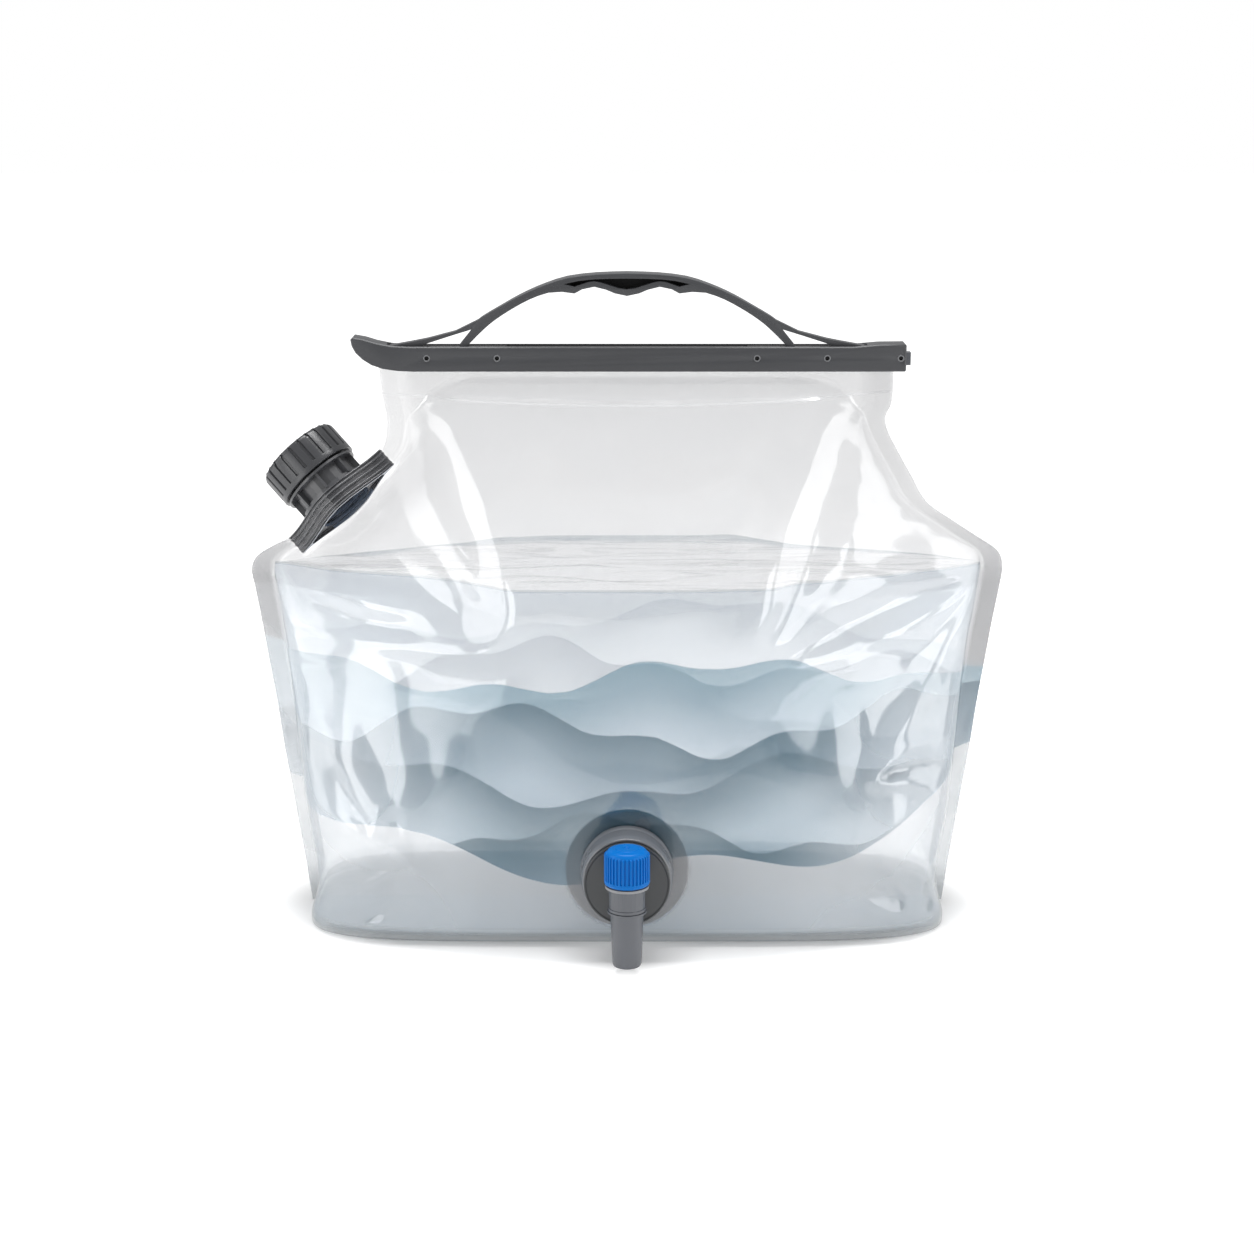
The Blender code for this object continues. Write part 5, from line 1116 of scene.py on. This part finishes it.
def tapKnob():
    low, high = (corner[2] - tap["height"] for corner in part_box("knob"))
    edge, root = knob["radius"], knob["radius"] - knob["ribProud"]
    body = turnedMesh("knobBody", [
        (knob["bore"], low, 0.0003), (edge - 0.0008, low, 0.0005), (edge, low + 0.0009, 0.0005),
        (edge, low + knob["skirt"], 0.0005), (root, low + knob["skirt"] + 0.0006, 0.0002),
        (root, high - knob["shoulder"], 0.0010), (0.0106, high - 0.0010, 0.0016), (0.0072, high - 0.0004, 0.0006),
        (0.0070, high, 0.0004), (0.0019, high, 0.0002), (0.0017, high - 0.0004, 0.0002),
        (0.0009, high - 0.0004, 0.0002), (0.0007, high - 0.00005, 0.0002), (0, high - 0.00005, 0),
        (0, high - knob["roof"], 0), (knob["bore"], high - knob["roof"], 0.0006)], 120)
    foot, top = low + knob["skirt"] - 0.0002, high - knob["shoulder"] + 0.0004
    levels = (foot, (foot + top) / 2, top - knob["ribEnd"])
    piece = ribbed("knobShell", knob, body, levels, top, finish["tapBlue"], tapUpright)
    dress(piece, [finish["tapBlue"]], "tap_knob", ("knob",), sharp=50)


fillerCap()
tapKnob()
print("cap and knob ribbed")

# Ridges moulded round the filler's welded body, swept along its outline
weldRidge = {"heights": (-0.0066, -0.0048, -0.0013, 0.0023, 0.0044), "stand": 0.0007, "radius": 0.00042,
             "points": 61, "sides": 8}


def weldRidges():
    shares = spaced(weldRidge["points"], 0)
    half = list(zip(shares * fitment["length"] / 2, fitmentThickness(shares) + weldRidge["stand"]))
    loop = [(x, -y) for x, y in half] + half[::-1]
    verts, edges = [], []
    for height in weldRidge["heights"]:
        base = len(verts)
        verts += [(x, y, height) for x, y in loop]
        edges += [(base + i, base + (i + 1) % len(loop)) for i in range(len(loop))]
    piece = placed("weldRidges", meshFrom("weldRidges", verts, [], edges))
    applyNodes(piece, ridgeTree(), {
        "Radius": weldRidge["radius"], "Sides": weldRidge["sides"], "Finish": finish["ridgeGrey"]})
    piece.data.transform(fillerFrame)
    dress(piece, [finish["ridgeGrey"]], "pouch", (), sharp=60)


weldRidges()

# Raised rims round the pin holes on both faces of the bar, painted lighter than the bar as their highlight
pinRim = {"across": (-0.1160, -0.0753, 0.0753, 0.1160, 0.1586), "height": 0.3344, "face": 0.0080,
          "inner": 0.00125, "outer": 0.00200, "stand": 0.00030, "sunk": 0.0006}


def pinRims():
    spots = [(side, x) for side in (-1, 1) for x in pinRim["across"]]
    mesh = meshFrom("pinRims", [(x, side * pinRim["face"], pinRim["height"]) for side, x in spots], [])
    layer = mesh.attributes.new("facing", "FLOAT_VECTOR", "POINT")
    layer.data.foreach_set("vector", [c for side, x in spots for c in (0, side, 0)])
    rim = placed("pinRimShape", turnedMesh("pinRimShape", [
        (pinRim["inner"], -pinRim["sunk"], 0), (pinRim["outer"], -pinRim["sunk"], 0),
        (pinRim["outer"], pinRim["stand"], 0.0003), (pinRim["inner"], pinRim["stand"], 0.0003)], 24))
    piece = placed("pinRims", mesh)
    applyNodes(piece, rimTree(), {"Rim": rim, "Finish": finish["rimPaintedHighlight"]})
    dress(piece, [finish["rimPaintedHighlight"]], "closure", (), sharp=60)


pinRims()

# Tap: turned pieces with soft edges, as the moulded ones have
outlet = {"foot": 0.0047 - tap["height"], "shoulder": -0.0097}
nut = {"face": 0.0236, "front": 0.0260, "dish": 0.00035}


def turnedPiece(name, profile, segments, matrix, made, body, node):
    piece = placed(name, turnedMesh(name, profile, segments), matrix)
    dress(piece, [finish[made]], body, (node,), sharp=50)


turnedPiece("clampRing", [
    (0.0206, 0.0003, 0.0002), (0.0270, 0.0003, 0.0006), (0.0270, 0.0043, 0.0010), (0.0262, 0.0056, 0.0004),
    (0.0262, 0.0165, 0.0010), (0.0253, 0.0206, 0.0024), (0.0236, 0.0206, 0.0008), (0.0236, 0.0068, 0.0003),
    (0.0206, 0.0068, 0.0003)], 96, tapLevel, "ringGrey", "pouch", "clamp_ring")
face, front, dished = nut["face"], nut["front"], nut["front"] - nut["dish"]
turnedPiece("tapNut", [
    (0.02085, 0.0073, 0.0002), (0.0231, 0.0073, 0.0003), (0.0231, face, 0.0003), (0.0246, face, 0.0005),
    (0.0246, front - 0.0002, 0.0006), (0.0238, front, 0.0005), (0.0232, dished, 0.0003), (0.0120, dished, 0.0004),
    (0.0112, front, 0.0004), (0.0057, front, 0.0003), (0.0057, face, 0.0002), (0.02085, face, 0.0004)],
    96, tapLevel, "nutGrey", "nut", "tap_nut")
foot, shoulder = outlet["foot"], outlet["shoulder"]
turnedPiece("outletPipe", [
    (0.0066, foot, 0.0006), (0.0078, foot, 0.0012), (0.0084, foot + 0.0018, 0.0010),
    (0.0094, shoulder - 0.0016, 0.0004), (0.0112, shoulder - 0.0011, 0.0003), (0.0112, shoulder, 0.0003),
    (0.0092, shoulder, 0.0001), (0.0091, shoulder + 0.0039, 0.0003), (0.0066, shoulder + 0.0039, 0.0004)],
    72, tapUpright, "paleGrey", "tap", "outlet_nozzle")
print("tap turned")

# The closure's two large mouldings, with softened edges; the floors of the grip's pockets are painted near-black as the
# pockets' shade
moulded = {"merge": 2e-6, "flat": 0.6, "edge": 0.0005, "segments": 2, "from": 32, "sharp": 40,
           "pocketFloor": 0.0022, "pocketHalf": 0.046}


def softened(node, body, made):
    bm = bmesh.new()
    bm.from_mesh(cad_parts[node].data)
    bmesh.ops.remove_doubles(bm, verts=bm.verts, dist=moulded["merge"])
    bmesh.ops.dissolve_limit(bm, angle_limit=math.radians(moulded["flat"]), verts=bm.verts, edges=bm.edges)
    mesh = bpy.data.meshes.new(f"{node}Moulded")
    bm.to_mesh(mesh)
    bm.free()
    piece = placed(f"{node}Moulded", mesh)
    edge = piece.modifiers.new("edge", "BEVEL")
    edge.width, edge.segments = moulded["edge"], moulded["segments"]
    edge.limit_method, edge.angle_limit = "ANGLE", math.radians(moulded["from"])
    edge.use_clamp_overlap = True
    plainly(piece)
    return dress(piece, made, body, (node,), moulded["sharp"])


softened("slider_bar", "closure", [finish["satinGrey"]])
grip = softened("handle", "closure", [finish["satinGrey"], finish["pocketPaintedShade"]])
# painted shade: the pocket floors of the grip take the near-black copy of its plastic, standing in for the shade in the
# pockets
for face in grip.data.polygons:
    if (abs(face.normal.y) > 0.9 and abs(face.center.y) < moulded["pocketFloor"]
            and abs(face.center.x) < moulded["pocketHalf"]):
        face.material_index = 1
print("closure softened")

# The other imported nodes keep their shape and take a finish
packed = {
    "paleGrey": ("front_rail", "back_rail", "end_plug", "tap_fitment", "tap_body"),
    "lightGrey": ("bonnet", "valve_stem"),
    "sealRubber": ("cap_seal", "tap_gasket", "seat_seal", "stem_oring"),
    # painted shade: the pin ends are near-black for the shade of their holes
    "pinPaintedShade": ("end_pin", "handle_pin_1", "handle_pin_2", "handle_pin_3", "handle_pin_4"),
    "neckGrey": ("filler_neck",),
}
for name, nodes in packed.items():
    for node in nodes:
        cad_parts[node].data.materials.clear()
        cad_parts[node].data.materials.append(finish[name])

# The filler's underside is painted pale as the highlight and milky veil of the film over it, and its bore a darker
# bluish grey as the shade inside it; both show through the film
neck = {"under": -0.006, "bore": 0.021, "facing": 0.9, "boreFacing": 0.81}
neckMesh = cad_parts["filler_neck"].data
for name in ("undersidePaintedSheen", "borePaintedShade"):
    neckMesh.materials.append(finish[name])
toNeck = fillerFrame.inverted()
for face in neckMesh.polygons:
    spot, way = toNeck @ face.center, toNeck.to_3x3() @ face.normal
    reach = math.hypot(spot.x, spot.y)
    if way.z < -neck["facing"] and spot.z < neck["under"]:
        face.material_index = 1
    elif way.x * spot.x + way.y * spot.y < -neck["boreFacing"] * reach and reach < neck["bore"]:
        face.material_index = 2
print("finishes given")
